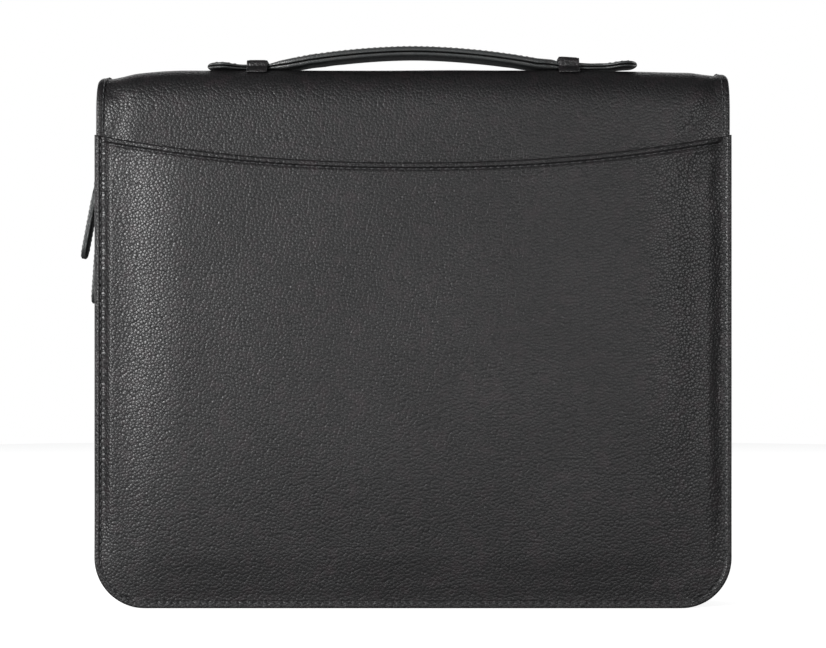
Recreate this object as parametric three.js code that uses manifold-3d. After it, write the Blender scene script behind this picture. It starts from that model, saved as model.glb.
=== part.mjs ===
// Zip-around leather document case with a slip pocket on its front and a sliding strap handle on its spine.
// Millimetres, +Z up. The front faces -Y, and the case stands on the rims of its covers.
import * as THREE from "three";
import { mergeVertices } from "three/addons/utils/BufferGeometryUtils.js";
import Module from "manifold-3d";

const wasm = await Module();
wasm.setup();

// Driving dimensions of the case
const caseWidth = 334;
const caseHeight = 285; // floor to the crown of the spine
const rimDepth = 42; // across the outer faces of the two cover rims
const coverWall = 2.5;
const bottomCorner = 26;
const spineCorner = 7;
const spineRise = 23; // height over which the covers round into the spine
const spineSquareness = 2.6; // 2 is an ellipse, more is squarer
const borderWidth = 8; // flat sewn border round each cover
const coverStand = 1.2; // how far the padding stands out of the border
const coverRamp = 12; // width over which the padding rises
const coverCrown = 0.8;
const clearance = 0.3; // between pieces that are sewn or laid together

// Driving dimensions of the front pocket
const pocketWall = 1.8;
const pocketGap = 5; // room behind the panel for papers
const pocketRamp = 16;
const pocketBorder = 5;
const pocketOverhang = 0.6; // the panel is a little wider than the cover
const mouthDrop = 51; // from the crown of the spine to the middle of the mouth
const mouthSag = 15; // from the ends of the mouth to its middle
const mouthPower = 2.2;

// Driving dimensions of the gussets and the zip
const gussetInset = 2.5; // from the cover's outline to the gusset's outer face
const gussetWall = 1.8;
const gussetFlange = 8; // turned in behind the cover's sewn border
const gussetDrop = 35; // from the crown of the spine to the top of the gussets
const zipSlot = 14; // between the edges of the two gussets
const tapeWall = 0.8;
const tapeLap = 7; // how far each tape runs in under its gusset
const tapeTail = 6; // how far each tape runs up behind the end panels
const chainWidth = 7;
const chainThickness = 3;

// Driving dimensions of the sliders
const sliderLength = 18;
const sliderHeadWidth = 12.4;
const sliderTailWidth = 10.4;
const sliderPlate = 1.4;
const sliderCavity = 3.6; // between the two plates
const sliderPost = 2.4;
const sliderPostLength = 3.5;
const sliderFlange = 1.1;
const sliderSlot = 1.6; // room between the flanges for the tape
const flangeShare = 0.6; // of the slider's length
const shoulderShare = 0.25; // of the half length, where the head starts to round in
const noseShare = 1 / 3; // of the head's width, straight across its end
const sliderSpacing = 2; // between the heads of the two sliders
const sliderDrop = 17.2; // from the top of the gussets to the middle of the upper slider
const bridgeWidth = 3.2;
const bridgeLength = 10;
const bridgeHeight = 3.9;
const bridgeWall = 0.9;
const bridgeLeg = 1.08; // thickness of the bridge where it meets the plate
const bridgeShift = 1.6; // towards the slider's tail

// Driving dimensions of the pulls
const wireRadius = 0.8;
const pivotHeight = 1.8; // from the slider's plate to the middle of the ring's bar
const pivotSag = 0.9; // the bar hangs this far below the middle of the bridge
const ringLength = 9;
const tabWidth = 13;
const tabThickness = 3.4;
const tabDrop = 50; // from the pivot to the tip of the tab
const foldLeather = 1;
const lowerLean = 4; // degrees from upright

// Driving dimensions of the handle
const handleLength = 230;
const handleShift = 5; // the strap has slid this far to the right
const handleArch = 6.2; // under the middle of the grip
const gripWidth = 25;
const gripThickness = 6;
const gripReach = 0.574; // share of the half length that arches clear of the spine, to each side
const archPower = 1.8;
const topLayer = 0.55; // share of the thickness
const edgeRound = 0.5; // 1 makes the strap's section an ellipse, less makes it squarer
const paddleLift = 1; // the right paddle stands off the spine
const paddleStart = 0.82; // share of the half length where the paddle begins to rise
const neckWidth = 0.52; // share of the grip's width, where the strap runs through the keepers
const neckThickness = 0.45; // share of the grip's thickness
const shoulderThickness = 0.72; // the strap has slid right until the grip's shoulder sits in the right keeper
const keeperShare = 0.722; // where each keeper is, as a share of the strap's half length
const keeperLength = 11;
const keeperWall = 1.8;
const keeperFoot = 5;
const keeperRoom = 0.5; // round the strap

// The strap's width and thickness as shares of the grip's, at shares of its half length from the middle
const strapSections = [
  { at: -1, width: 0.26, thick: 0.42 },
  { at: -0.985, width: 0.62, thick: 0.55 },
  { at: -0.955, width: 0.9, thick: 0.62 },
  { at: -0.91, width: 0.92, thick: 0.62 },
  { at: -0.87, width: 0.7, thick: 0.52 },
  { at: -0.83, width: neckWidth, thick: neckThickness },
  { at: -0.72, width: neckWidth, thick: neckThickness },
  { at: -0.66, width: 0.68, thick: 0.84 },
  { at: -0.61, width: 0.84, thick: 0.97 },
  { at: -0.52, width: 0.95, thick: 1 },
  { at: -0.42, width: 0.98, thick: 1 },
  { at: -0.32, width: 1, thick: 1 },
  { at: -0.22, width: 1, thick: 1 },
  { at: -0.12, width: 1, thick: 1 },
  { at: -0.02, width: 1, thick: 1 },
  { at: 0.08, width: 1, thick: 1 },
  { at: 0.18, width: 1, thick: 1 },
  { at: 0.28, width: 1, thick: 1 },
  { at: 0.38, width: 0.98, thick: 1 },
  { at: 0.48, width: 0.9, thick: 1 },
  { at: 0.56, width: 0.72, thick: 1 },
  { at: 0.6, width: 0.57, thick: 0.94 },
  { at: 0.63, width: neckWidth, thick: shoulderThickness + 0.02 },
  { at: 0.68, width: neckWidth, thick: shoulderThickness - 0.03 },
  { at: 0.73, width: neckWidth, thick: 0.62 },
  { at: 0.84, width: neckWidth, thick: 0.57 },
  { at: 0.875, width: 0.7, thick: 0.58 },
  { at: 0.915, width: 0.92, thick: 0.62 },
  { at: 0.955, width: 0.9, thick: 0.62 },
  { at: 0.985, width: 0.62, thick: 0.55 },
  { at: 1, width: 0.26, thick: 0.42 },
];

// How finely the curved pieces are divided
const weldReach = 1e-4; // corners of a mesh closer than this are one
const overshoot = 1; // grids run this far past the outline that trims them
const curveSteps = 8;
const cornerSteps = 10;
const rampShares = [0, 0.25, 0.5, 0.75, 1];
const acrossShares = [0.3, 0.6, 0.85]; // from the middle of a panel to its padded edge
const coverShares = [0.22, 0.4, 0.6, 0.8, 1]; // up the flat of a cover
const pocketShares = [0.25, 0.5, 0.75, 1]; // up the flat of the pocket
const spineBends = 13;
const mouthSteps = 10; // from the middle to each end
const endPanelSteps = 12;
const archSteps = 10;
const leanSteps = 24;
const plateSteps = 5;
const wireSides = 8;
const strapTurns = 8;

// Sizes that follow from the driving dimensions
const halfWidth = caseWidth / 2;
const halfRim = rimDepth / 2;
const springHeight = caseHeight - spineRise - coverStand;
const innerRim = halfRim - coverWall;
const gussetTop = caseHeight - gussetDrop;
const upperSliderHeight = gussetTop - sliderDrop;
const mouthCentreHeight = caseHeight - mouthDrop;
const mouthEndHeight = mouthCentreHeight + mouthSag;
const keeperSpread = (keeperShare * handleLength) / 2;
const seamFace = innerRim - clearance;
const tapeInset = gussetInset + gussetWall + clearance;
const chainInset = tapeInset + tapeWall / 2;
const chainTop = gussetTop - clearance;
const lowerSliderHeight = upperSliderHeight - sliderLength - sliderSpacing;
const plateFace = sliderCavity / 2 + sliderPlate;
const pivotDepth = plateFace + pivotHeight;
const pivotX = -(halfWidth - chainInset + pivotDepth);
const upperPivot = upperSliderHeight + bridgeShift - pivotSag;
const lowerPivot = lowerSliderHeight - bridgeShift - pivotSag;
const ringInner = sliderTailWidth - 2 * foldLeather;
const sealInset = gussetInset + gussetWall;

const leather = new THREE.MeshStandardMaterial({ color: 0x39383a, roughness: 0.5, metalness: 0 });
const handleLeather = new THREE.MeshStandardMaterial({ color: 0x343335, roughness: 0.45, metalness: 0 });
const tapeCloth = new THREE.MeshStandardMaterial({ color: 0x1c1c1e, roughness: 0.9, metalness: 0 });
const zipMetal = new THREE.MeshStandardMaterial({ color: 0x8c8c90, roughness: 0.35, metalness: 1 });

// A closed three.js geometry as a manifold solid.
function solidOf(geometry) {
  const bare = geometry.clone();
  bare.deleteAttribute("normal");
  bare.deleteAttribute("uv");
  const merged = mergeVertices(bare, weldReach);
  return new wasm.Manifold(
    new wasm.Mesh({
      numProp: 3,
      vertProperties: new Float32Array(merged.attributes.position.array),
      triVerts: new Uint32Array(merged.index.array),
    }),
  );
}

// A manifold solid as a three.js geometry.
function geometryOf(solid) {
  const cut = solid.getMesh();
  const geometry = new THREE.BufferGeometry();
  geometry.setAttribute("position", new THREE.BufferAttribute(cut.vertProperties, 3));
  geometry.setIndex(new THREE.BufferAttribute(cut.triVerts, 1));
  geometry.computeVertexNormals();
  return geometry;
}

function joined(geometries) {
  return geometryOf(geometries.map(solidOf).reduce((whole, next) => whole.add(next)));
}

function common(first, second) {
  return geometryOf(solidOf(first).intersect(solidOf(second)));
}

// An outline drawn in X and Z, given depth from one Y to another.
function alongY(outline, yLow, yHigh, curveSegments = curveSteps) {
  const geometry = new THREE.ExtrudeGeometry(outline, {
    depth: yHigh - yLow,
    bevelEnabled: false,
    curveSegments,
  });
  return geometry.rotateX(Math.PI / 2).translate(0, yHigh, 0);
}

// An outline drawn in Y and Z, given depth from one X to another.
function alongX(outline, xLow, xHigh, curveSegments = curveSteps) {
  const geometry = new THREE.ExtrudeGeometry(outline, {
    depth: xHigh - xLow,
    bevelEnabled: false,
    curveSegments,
  });
  const turn = new THREE.Matrix4().makeBasis(
    new THREE.Vector3(0, 1, 0),
    new THREE.Vector3(0, 0, 1),
    new THREE.Vector3(1, 0, 0),
  );
  return geometry.applyMatrix4(turn).translate(xLow, 0, 0);
}

// A closed slab between an outer and an inner surface, each a grid of columns by rows.
function slab(columns, rows, outer, inner) {
  const points = [];
  for (const surface of [outer, inner])
    for (const row of rows) for (const column of columns) points.push(...surface(column, row));
  const wide = columns.length;
  const tall = rows.length;
  const faces = [];
  const quad = (a, b, c, d) => faces.push(a, b, c, a, c, d);
  const front = (i, j) => j * wide + i;
  const back = (i, j) => (tall + j) * wide + i;
  for (let j = 0; j + 1 < tall; j++)
    for (let i = 0; i + 1 < wide; i++) {
      quad(front(i, j), front(i + 1, j), front(i + 1, j + 1), front(i, j + 1));
      quad(back(i, j), back(i, j + 1), back(i + 1, j + 1), back(i + 1, j));
    }
  for (let i = 0; i + 1 < wide; i++) {
    quad(front(i, 0), back(i, 0), back(i + 1, 0), front(i + 1, 0));
    quad(front(i, tall - 1), front(i + 1, tall - 1), back(i + 1, tall - 1), back(i, tall - 1));
  }
  for (let j = 0; j + 1 < tall; j++) {
    quad(front(0, j), front(0, j + 1), back(0, j + 1), back(0, j));
    quad(front(wide - 1, j), back(wide - 1, j), back(wide - 1, j + 1), front(wide - 1, j + 1));
  }
  const geometry = new THREE.BufferGeometry();
  geometry.setAttribute("position", new THREE.Float32BufferAttribute(points, 3));
  geometry.setIndex(faces);
  geometry.computeVertexNormals();
  return geometry;
}

// Rises smoothly from 0 to 1 as the distance goes from start to start + width.
function ramp(distance, start, width) {
  const share = THREE.MathUtils.clamp((distance - start) / width, 0, 1);
  return share * share * (3 - 2 * share);
}

// Distance inwards from the sides and the rounded bottom of the cover's outline.
function insetOf(x, z) {
  const cornerX = halfWidth - bottomCorner;
  const sideways = Math.abs(x) - cornerX;
  const downwards = bottomCorner - z;
  if (sideways > 0 && downwards > 0) return bottomCorner - Math.hypot(sideways, downwards);
  return Math.min(halfWidth - Math.abs(x), z);
}

// How far the crown of a cover stands out at a place on it.
function crownAt(x, z) {
  const across = x / halfWidth;
  const up = (2 * z) / springHeight - 1;
  return Math.max(0, 1 - across * across) * Math.max(0, 1 - up * up);
}

function coverOffset(x, z) {
  return coverStand * ramp(insetOf(x, z), borderWidth, coverRamp) + coverCrown * crownAt(x, z);
}

// Places across the width, close together where the padding rises and symmetric about the middle.
function widthStations(ramps, inner) {
  const edge = halfWidth + overshoot;
  const flat = inner.map((share) => share * (halfWidth - ramps[0]));
  const right = [...flat, ...ramps.map((inset) => halfWidth - inset), edge];
  return [...right.map((x) => -x).reverse(), 0, ...right];
}

// The cover's profile, from the front rim over the spine to the back rim. Each row has a place and a way.
function coverRows() {
  const ramps = rampShares.map((share) => borderWidth + share * coverRamp);
  const walls = coverShares.map((share) => THREE.MathUtils.lerp(ramps.at(-1), springHeight, share));
  const heights = [-overshoot, ...ramps, ...walls];
  const bends = Array.from({ length: spineBends }, (_, k) => (Math.PI * (k + 1)) / (spineBends + 1));
  return [
    ...heights.map((z) => ({ side: -1, z })),
    ...bends.map((bend) => ({ bend })),
    ...heights.reverse().map((z) => ({ side: 1, z })),
  ];
}

// A point of the cover's profile, the given distance outside the rim's outer face.
function profilePoint(row, offset) {
  if (row.bend === undefined) return [row.side * (halfRim + offset), row.z];
  const power = 2 / spineSquareness;
  const cos = Math.cos(row.bend);
  return [
    -(halfRim + offset) * Math.sign(cos) * Math.abs(cos) ** power,
    springHeight + (spineRise + offset) * Math.sin(row.bend) ** power,
  ];
}

// Height of the padded spine at a distance from its middle.
function spineTop(y) {
  const share = Math.abs(y) / (halfRim + coverStand);
  return springHeight + (spineRise + coverStand) * (1 - share ** spineSquareness) ** (1 / spineSquareness);
}

// The front view of the covers, with round bottom corners and small corners at the spine.
function coverOutline() {
  const outline = new THREE.Shape();
  outline.moveTo(-halfWidth, bottomCorner);
  outline.absarc(-halfWidth + bottomCorner, bottomCorner, bottomCorner, Math.PI, 1.5 * Math.PI);
  outline.absarc(halfWidth - bottomCorner, bottomCorner, bottomCorner, 1.5 * Math.PI, 2 * Math.PI);
  outline.absarc(halfWidth - spineCorner, caseHeight - spineCorner, spineCorner, 0, 0.5 * Math.PI);
  outline.absarc(-halfWidth + spineCorner, caseHeight - spineCorner, spineCorner, 0.5 * Math.PI, Math.PI);
  return outline;
}

function coverWrap() {
  const ramps = rampShares.map((share) => borderWidth + share * coverRamp);
  const columns = widthStations(ramps.reverse(), acrossShares);
  const surface = (depth) => (x, row) => {
    const z = row.bend === undefined ? row.z : springHeight;
    return [x, ...profilePoint(row, coverOffset(x, z) - depth)];
  };
  const wall = slab(columns, coverRows(), surface(0), surface(coverWall));
  const reach = halfRim + coverStand + coverCrown + coverWall;
  return common(wall, alongY(coverOutline(), -reach, reach, cornerSteps));
}

// Height of the pocket's mouth across the width.
function mouthHeight(x) {
  const share = Math.min(1, Math.abs(x) / halfWidth);
  return mouthCentreHeight + mouthSag * share ** mouthPower;
}

function pocketOutline() {
  const edge = halfWidth + pocketOverhang;
  const corner = bottomCorner + pocketOverhang;
  const outline = new THREE.Shape();
  outline.moveTo(-edge, corner);
  outline.absarc(-edge + corner, corner, corner, Math.PI, 1.5 * Math.PI);
  outline.absarc(edge - corner, corner, corner, 1.5 * Math.PI, 2 * Math.PI);
  for (let k = mouthSteps; k >= -mouthSteps; k--) {
    const x = (k / mouthSteps) * edge;
    outline.lineTo(x, mouthHeight(x));
  }
  return outline;
}

// How far the pocket's inner face stands off the cover's rim face.
function pocketOffset(x, z) {
  const raised = coverStand + pocketGap;
  return clearance + raised * ramp(insetOf(x, z), pocketBorder, pocketRamp) + coverCrown * crownAt(x, z);
}

function frontPocket() {
  const low = rampShares.map((share) => pocketBorder + share * pocketRamp);
  const top = mouthEndHeight + overshoot;
  const high = pocketShares.map((share) => THREE.MathUtils.lerp(low.at(-1), top, share));
  const columns = widthStations([...low].reverse(), acrossShares);
  const surface = (depth) => (x, z) => [x, -(halfRim + pocketOffset(x, z) + depth), z];
  const wall = slab(columns, [-overshoot, ...low, ...high], surface(pocketWall), surface(0));
  const reach = halfRim + coverStand + pocketGap + coverCrown + 2 * pocketWall;
  return common(wall, alongY(pocketOutline(), -reach, 0));
}

// A band round the left side, the bottom and the right side, between two insets from the cover's outline.
function bandOutline(outerInset, innerInset, leftTop, rightTop) {
  const outline = new THREE.Shape();
  const side = (inset) => halfWidth - inset;
  const radius = (inset) => bottomCorner - inset;
  const centre = halfWidth - bottomCorner;
  outline.moveTo(-side(outerInset), leftTop);
  outline.absarc(-centre, bottomCorner, radius(outerInset), Math.PI, 1.5 * Math.PI);
  outline.absarc(centre, bottomCorner, radius(outerInset), 1.5 * Math.PI, 2 * Math.PI);
  outline.lineTo(side(outerInset), rightTop);
  outline.lineTo(side(innerInset), rightTop);
  outline.absarc(centre, bottomCorner, radius(innerInset), 2 * Math.PI, 1.5 * Math.PI, true);
  outline.absarc(-centre, bottomCorner, radius(innerInset), 1.5 * Math.PI, Math.PI, true);
  outline.lineTo(-side(innerInset), leftTop);
  return outline;
}

// The front gusset: a side band with a flange turned in behind the cover's border.
function gusset() {
  const web = bandOutline(gussetInset, sealInset, gussetTop, gussetTop);
  const flange = bandOutline(gussetInset, gussetInset + gussetFlange, gussetTop, gussetTop);
  return joined([
    alongY(web, -seamFace, -zipSlot / 2),
    alongY(flange, -seamFace, -seamFace + gussetWall),
  ]);
}

function zipTape() {
  const outline = bandOutline(tapeInset, tapeInset + tapeWall, gussetTop + tapeTail, gussetTop + tapeTail);
  return alongY(outline, -zipSlot / 2 - tapeLap, -chainWidth / 2 - clearance);
}

// Where a slider's post begins, from the middle of the slider towards its head.
function postReach() {
  return sliderLength / 2 - sliderPostLength - sliderPlate / 2;
}

function lowerChain() {
  const outer = chainInset - chainThickness / 2;
  const leftTop = lowerSliderHeight + postReach() - clearance;
  const outline = bandOutline(outer, outer + chainThickness, leftTop, chainTop);
  return alongY(outline, -chainWidth / 2, chainWidth / 2);
}

function upperChain() {
  const bottom = upperSliderHeight - postReach() + clearance;
  const chain = new THREE.BoxGeometry(chainThickness, chainWidth, chainTop - bottom);
  return chain.translate(-(halfWidth - chainInset), 0, (chainTop + bottom) / 2);
}

// The panel that closes one end of the spine, drawn in Y and Z.
function endPanelOutline() {
  const outline = new THREE.Shape();
  outline.moveTo(-seamFace, gussetTop + clearance);
  outline.lineTo(seamFace, gussetTop + clearance);
  for (let k = 0; k <= endPanelSteps; k++) {
    const row = { bend: Math.PI * (1 - k / endPanelSteps) };
    outline.lineTo(...profilePoint(row, -coverWall - clearance));
  }
  return outline;
}

function endPanel(side) {
  const outer = side * (halfWidth - gussetInset);
  const inner = side * (halfWidth - sealInset);
  return alongX(endPanelOutline(), Math.min(outer, inner), Math.max(outer, inner));
}

// Half an ellipse standing on the slider's plate, drawn in Z and X for the bridge's side view.
function archPoints(halfLength, height, count) {
  return Array.from({ length: count + 1 }, (_, k) => {
    const turn = (Math.PI * k) / count;
    return new THREE.Vector2(halfLength * Math.cos(turn), plateFace + height * Math.sin(turn));
  });
}

function bridge() {
  const outer = archPoints(bridgeLength / 2, bridgeHeight, archSteps);
  const inner = archPoints(bridgeLength / 2 - bridgeLeg, bridgeHeight - bridgeWall, archSteps);
  const sunk = plateFace - sliderPlate / 2;
  const outline = new THREE.Shape([
    new THREE.Vector2(outer[0].x, sunk),
    ...outer,
    new THREE.Vector2(outer.at(-1).x, sunk),
    new THREE.Vector2(inner.at(-1).x, sunk),
    ...inner.reverse(),
    new THREE.Vector2(inner.at(-1).x, sunk),
  ]);
  const geometry = new THREE.ExtrudeGeometry(outline, { depth: bridgeWidth, bevelEnabled: false });
  const turn = new THREE.Matrix4().makeBasis(
    new THREE.Vector3(0, 0, 1),
    new THREE.Vector3(1, 0, 0),
    new THREE.Vector3(0, 1, 0),
  );
  return geometry.applyMatrix4(turn).translate(0, -bridgeWidth / 2, bridgeShift);
}

// The plan of a slider's plate in Y and Z, with its wide head down and its narrow tail up.
function plateOutline() {
  const head = sliderHeadWidth / 2;
  const tail = sliderTailWidth / 2;
  const end = sliderLength / 2;
  const shoulder = shoulderShare * end;
  const nose = noseShare * head;
  const outline = new THREE.Shape();
  outline.moveTo(-tail, end);
  outline.lineTo(-head, -shoulder);
  outline.quadraticCurveTo(-head, -end, -nose, -end);
  outline.lineTo(nose, -end);
  outline.quadraticCurveTo(head, -end, head, -shoulder);
  outline.lineTo(tail, end);
  return outline;
}

// A zip slider with its head down: two plates on a post, flanges along the tail, and a bridge on the outside.
// Its own +X points out of the case, and X is 0 at the middle of the tape.
function slider() {
  const half = sliderCavity / 2;
  const faces = [half, -half - sliderPlate];
  const plates = faces.map((x) => alongX(plateOutline(), x, x + sliderPlate, plateSteps));
  const post = new THREE.BoxGeometry(sliderCavity + sliderPlate, sliderPost, sliderPostLength);
  post.translate(0, 0, -postReach() - sliderPostLength / 2);
  const flangeDepth = half - sliderSlot / 2 + sliderPlate / 2;
  const flangeLength = flangeShare * sliderLength;
  const flanges = [-1, 1].flatMap((side) =>
    [-1, 1].map((face) => {
      const flange = new THREE.BoxGeometry(flangeDepth, sliderFlange, flangeLength);
      const x = face * (sliderSlot / 2 + flangeDepth / 2);
      const y = (side * (sliderTailWidth - sliderFlange)) / 2;
      return flange.translate(x, y, (sliderLength - flangeLength) / 2);
    }),
  );
  return joined([...plates, post, ...flanges, bridge()]);
}

// The metal link of a pull, hanging from its pivot at the origin.
function ring() {
  const side = ringInner / 2 + wireRadius;
  const bar = (span) => new THREE.CylinderGeometry(wireRadius, wireRadius, span, wireSides);
  const flat = wireRadius * Math.cos(Math.PI / wireSides);
  const across = 2 * (side + flat);
  const along = ringLength + 2 * flat;
  return joined([
    bar(across),
    bar(across).translate(0, 0, -ringLength),
    bar(along).rotateX(Math.PI / 2).translate(0, -side, -ringLength / 2),
    bar(along).rotateX(Math.PI / 2).translate(0, side, -ringLength / 2),
  ]);
}

// The leather tab of a pull, folded round the ring's lower bar.
function tab() {
  const bore = wireRadius + clearance;
  const fold = bore + foldLeather;
  const half = tabThickness / 2;
  const meet = Math.asin(half / fold);
  const profile = new THREE.Shape();
  profile.moveTo(-half, -tabDrop);
  profile.lineTo(half, -tabDrop);
  profile.absarc(0, -ringLength, fold, meet - Math.PI / 2, 1.5 * Math.PI - meet);
  const eye = new THREE.Path();
  eye.absarc(0, -ringLength, bore, 0, 2 * Math.PI, true);
  profile.holes.push(eye);
  const body = alongY(profile, -tabWidth / 2, tabWidth / 2, cornerSteps);
  const neck = ringInner / 2 - clearance;
  const shoulder = -ringLength - wireRadius - 2 * clearance;
  const wide = tabWidth / 2;
  const outline = new THREE.Shape();
  outline.moveTo(-neck, 0);
  outline.lineTo(-neck, shoulder);
  outline.quadraticCurveTo(-neck, shoulder - neck / 2, -wide, shoulder - neck);
  outline.absarc(0, -tabDrop + wide, wide, Math.PI, 2 * Math.PI);
  outline.lineTo(wide, shoulder - neck);
  outline.quadraticCurveTo(neck, shoulder - neck / 2, neck, shoulder);
  outline.lineTo(neck, 0);
  return common(body, alongX(outline, -tabWidth, tabWidth));
}

// The upper pull hangs over the lower slider's bridge. This is how far it leans, in radians.
function upperLean() {
  const bridgeMiddle = upperPivot - lowerPivot - pivotSag;
  const offset = tabThickness / 2 + clearance;
  const leans = archPoints(bridgeLength / 2, bridgeHeight, leanSteps).map((point) => {
    const down = bridgeMiddle + point.x;
    const out = point.y - pivotDepth;
    return Math.asin(offset / Math.hypot(down, out)) + Math.atan2(out, down);
  });
  return Math.max(...leans);
}

// How far the strap's underside is off the spine, at a share of its half length. The right end is positive.
function strapLift(share) {
  const fromMiddle = Math.abs(share + (2 * handleShift) / handleLength);
  const arch = Math.max(0, 1 - (fromMiddle / gripReach) ** archPower);
  return handleArch * arch + paddleLift * ramp(share, paddleStart, 1 - paddleStart);
}

// One layer of the strap: sections with one flat face at the seam and one crowned face, up or down.
function strapLayer(way) {
  const share = way > 0 ? topLayer : 1 - topLayer;
  const place = (crown) => (turn, section) => {
    const thick = section.thick * gripThickness;
    const seam = caseHeight + clearance + strapLift(section.at) + (1 - topLayer) * thick;
    const wide = (section.width * gripWidth) / 2;
    const y = way * wide * Math.sign(Math.cos(turn)) * Math.abs(Math.cos(turn)) ** edgeRound;
    const height = crown ? (share * thick - clearance / 2) * Math.sin(turn) ** edgeRound : 0;
    const z = seam + way * (clearance / 2 + height);
    return [handleShift + (section.at * handleLength) / 2, y, z];
  };
  const turns = Array.from({ length: strapTurns - 1 }, (_, k) => (Math.PI * (k + 1)) / strapTurns);
  return slab(turns, strapSections, place(true), place(false));
}

// A loop over the strap whose two feet lie on the spine, drawn in Y and Z. Its room fits a share of the grip.
function keeperOutline(strapShare) {
  const inside = (neckWidth * gripWidth) / 2 + keeperRoom;
  const roof = caseHeight + clearance + strapShare * gripThickness + keeperRoom;
  const outside = inside + keeperWall;
  const tip = outside + keeperFoot;
  const seat = (y) => spineTop(y) + clearance;
  const outline = new THREE.Shape();
  outline.moveTo(-tip, seat(tip));
  for (const y of [-outside, -inside]) outline.lineTo(y, seat(y));
  outline.lineTo(-inside, roof);
  outline.lineTo(inside, roof);
  for (const y of [inside, outside, tip]) outline.lineTo(y, seat(y));
  for (const y of [tip, outside]) outline.lineTo(y, seat(y) + keeperWall);
  outline.lineTo(outside, roof);
  outline.quadraticCurveTo(outside, roof + keeperWall, inside, roof + keeperWall);
  outline.lineTo(-inside, roof + keeperWall);
  outline.quadraticCurveTo(-outside, roof + keeperWall, -outside, roof);
  for (const y of [outside, tip]) outline.lineTo(-y, seat(y) + keeperWall);
  return outline;
}

function keeper(middle, strapShare) {
  return alongX(keeperOutline(strapShare), middle - keeperLength / 2, middle + keeperLength / 2);
}

// The same piece on the other cover.
function onBack(geometry) {
  const turned = geometry.clone();
  return turned.rotateZ(Math.PI);
}

function named(name, geometry, material) {
  const mesh = new THREE.Mesh(geometry, material);
  mesh.name = name;
  return mesh;
}

// A slider at its height on the left side. The lower one is turned over, so that the two heads meet.
function sliderAt(name, height, headDown) {
  const mesh = named(name, slider(), zipMetal);
  mesh.position.set(-(halfWidth - chainInset), 0, height);
  mesh.rotation.set(headDown ? 0 : Math.PI, 0, Math.PI);
  return mesh;
}

// A pull hanging from its slider's bridge, leaning out of the case.
function pull(level, height, lean) {
  const group = new THREE.Group();
  group.add(named(`ring_${level}`, ring(), zipMetal), named(`tab_${level}`, tab(), handleLeather));
  group.position.set(pivotX, 0, height);
  group.rotation.y = lean;
  return group;
}

const documentCase = new THREE.Group();
documentCase.add(
  named("cover_wrap", coverWrap(), leather),
  named("front_pocket", frontPocket(), leather),
  named("gusset_front", gusset(), leather),
  named("gusset_back", onBack(gusset()), leather),
  named("end_panel_left", endPanel(-1), leather),
  named("end_panel_right", endPanel(1), leather),
  named("zip_tape_front", zipTape(), tapeCloth),
  named("zip_tape_back", onBack(zipTape()), tapeCloth),
  named("zip_chain_lower", lowerChain(), zipMetal),
  named("zip_chain_upper", upperChain(), zipMetal),
  sliderAt("slider_upper", upperSliderHeight, true),
  sliderAt("slider_lower", lowerSliderHeight, false),
  pull("upper", upperPivot, upperLean()),
  pull("lower", lowerPivot, THREE.MathUtils.degToRad(lowerLean)),
  named("handle_top", strapLayer(1), handleLeather),
  named("handle_base", strapLayer(-1), handleLeather),
  named("keeper_left", keeper(-keeperSpread, neckThickness), leather),
  named("keeper_right", keeper(keeperSpread, shoulderThickness), leather),
);

// The origin is on the floor, under the middle of the whole case with its pulls.
const part = new THREE.Group();
part.add(documentCase);
const box = new THREE.Box3().setFromObject(documentCase, true);
documentCase.position.x = -(box.min.x + box.max.x) / 2;
documentCase.position.y = -(box.min.y + box.max.y) / 2;

export default part;
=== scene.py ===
"""Dresses a leather document case and lights it for a front view."""
import logging
import math
from dataclasses import dataclass, field
from enum import Enum

import bpy
import numpy as np
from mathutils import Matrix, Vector, noise


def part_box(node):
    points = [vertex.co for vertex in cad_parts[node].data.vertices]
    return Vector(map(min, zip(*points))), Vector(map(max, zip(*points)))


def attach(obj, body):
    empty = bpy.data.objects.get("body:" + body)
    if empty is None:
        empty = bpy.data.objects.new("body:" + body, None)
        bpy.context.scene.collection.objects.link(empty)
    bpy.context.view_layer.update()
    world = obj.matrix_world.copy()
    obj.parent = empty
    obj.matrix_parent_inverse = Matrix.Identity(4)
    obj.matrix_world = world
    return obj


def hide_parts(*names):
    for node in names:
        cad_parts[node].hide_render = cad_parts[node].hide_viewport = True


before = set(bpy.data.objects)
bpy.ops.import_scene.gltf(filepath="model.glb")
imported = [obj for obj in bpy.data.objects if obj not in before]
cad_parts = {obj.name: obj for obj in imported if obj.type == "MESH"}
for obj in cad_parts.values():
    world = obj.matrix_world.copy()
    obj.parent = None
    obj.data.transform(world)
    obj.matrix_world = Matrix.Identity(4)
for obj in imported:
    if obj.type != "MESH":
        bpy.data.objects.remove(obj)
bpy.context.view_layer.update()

MM = 0.001
LOG = logging.getLogger("document_case")

Faces = list[tuple[int, ...]]
Form = tuple[np.ndarray, Faces]


class Body(Enum):
    """The bodies of the frame that a piece can ride on."""

    CASE = "case"
    UPPER_PULL = "pull_upper"
    LOWER_PULL = "pull_lower"


class Slot(Enum):
    """The record's material slots."""

    LEATHER = "leather"
    STRAP = "strap_leather"
    TAPE = "zip_tape"
    METAL = "zip_metal"


class Side(Enum):
    """The two covers, by the sign of their outward Y direction."""

    FRONT = -1
    BACK = 1


def ramp(distance: np.ndarray, start: float, width: float) -> np.ndarray:
    """Rise smoothly from 0 to 1 over a width.

    Args:
        distance: Where the rise is read.
        start: Where it begins.
        width: How far it takes.

    Returns:
        The share risen at each place.
    """
    share = np.clip((np.asarray(distance, float) - start) / width, 0.0, 1.0)
    return share * share * (3.0 - 2.0 * share)


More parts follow.
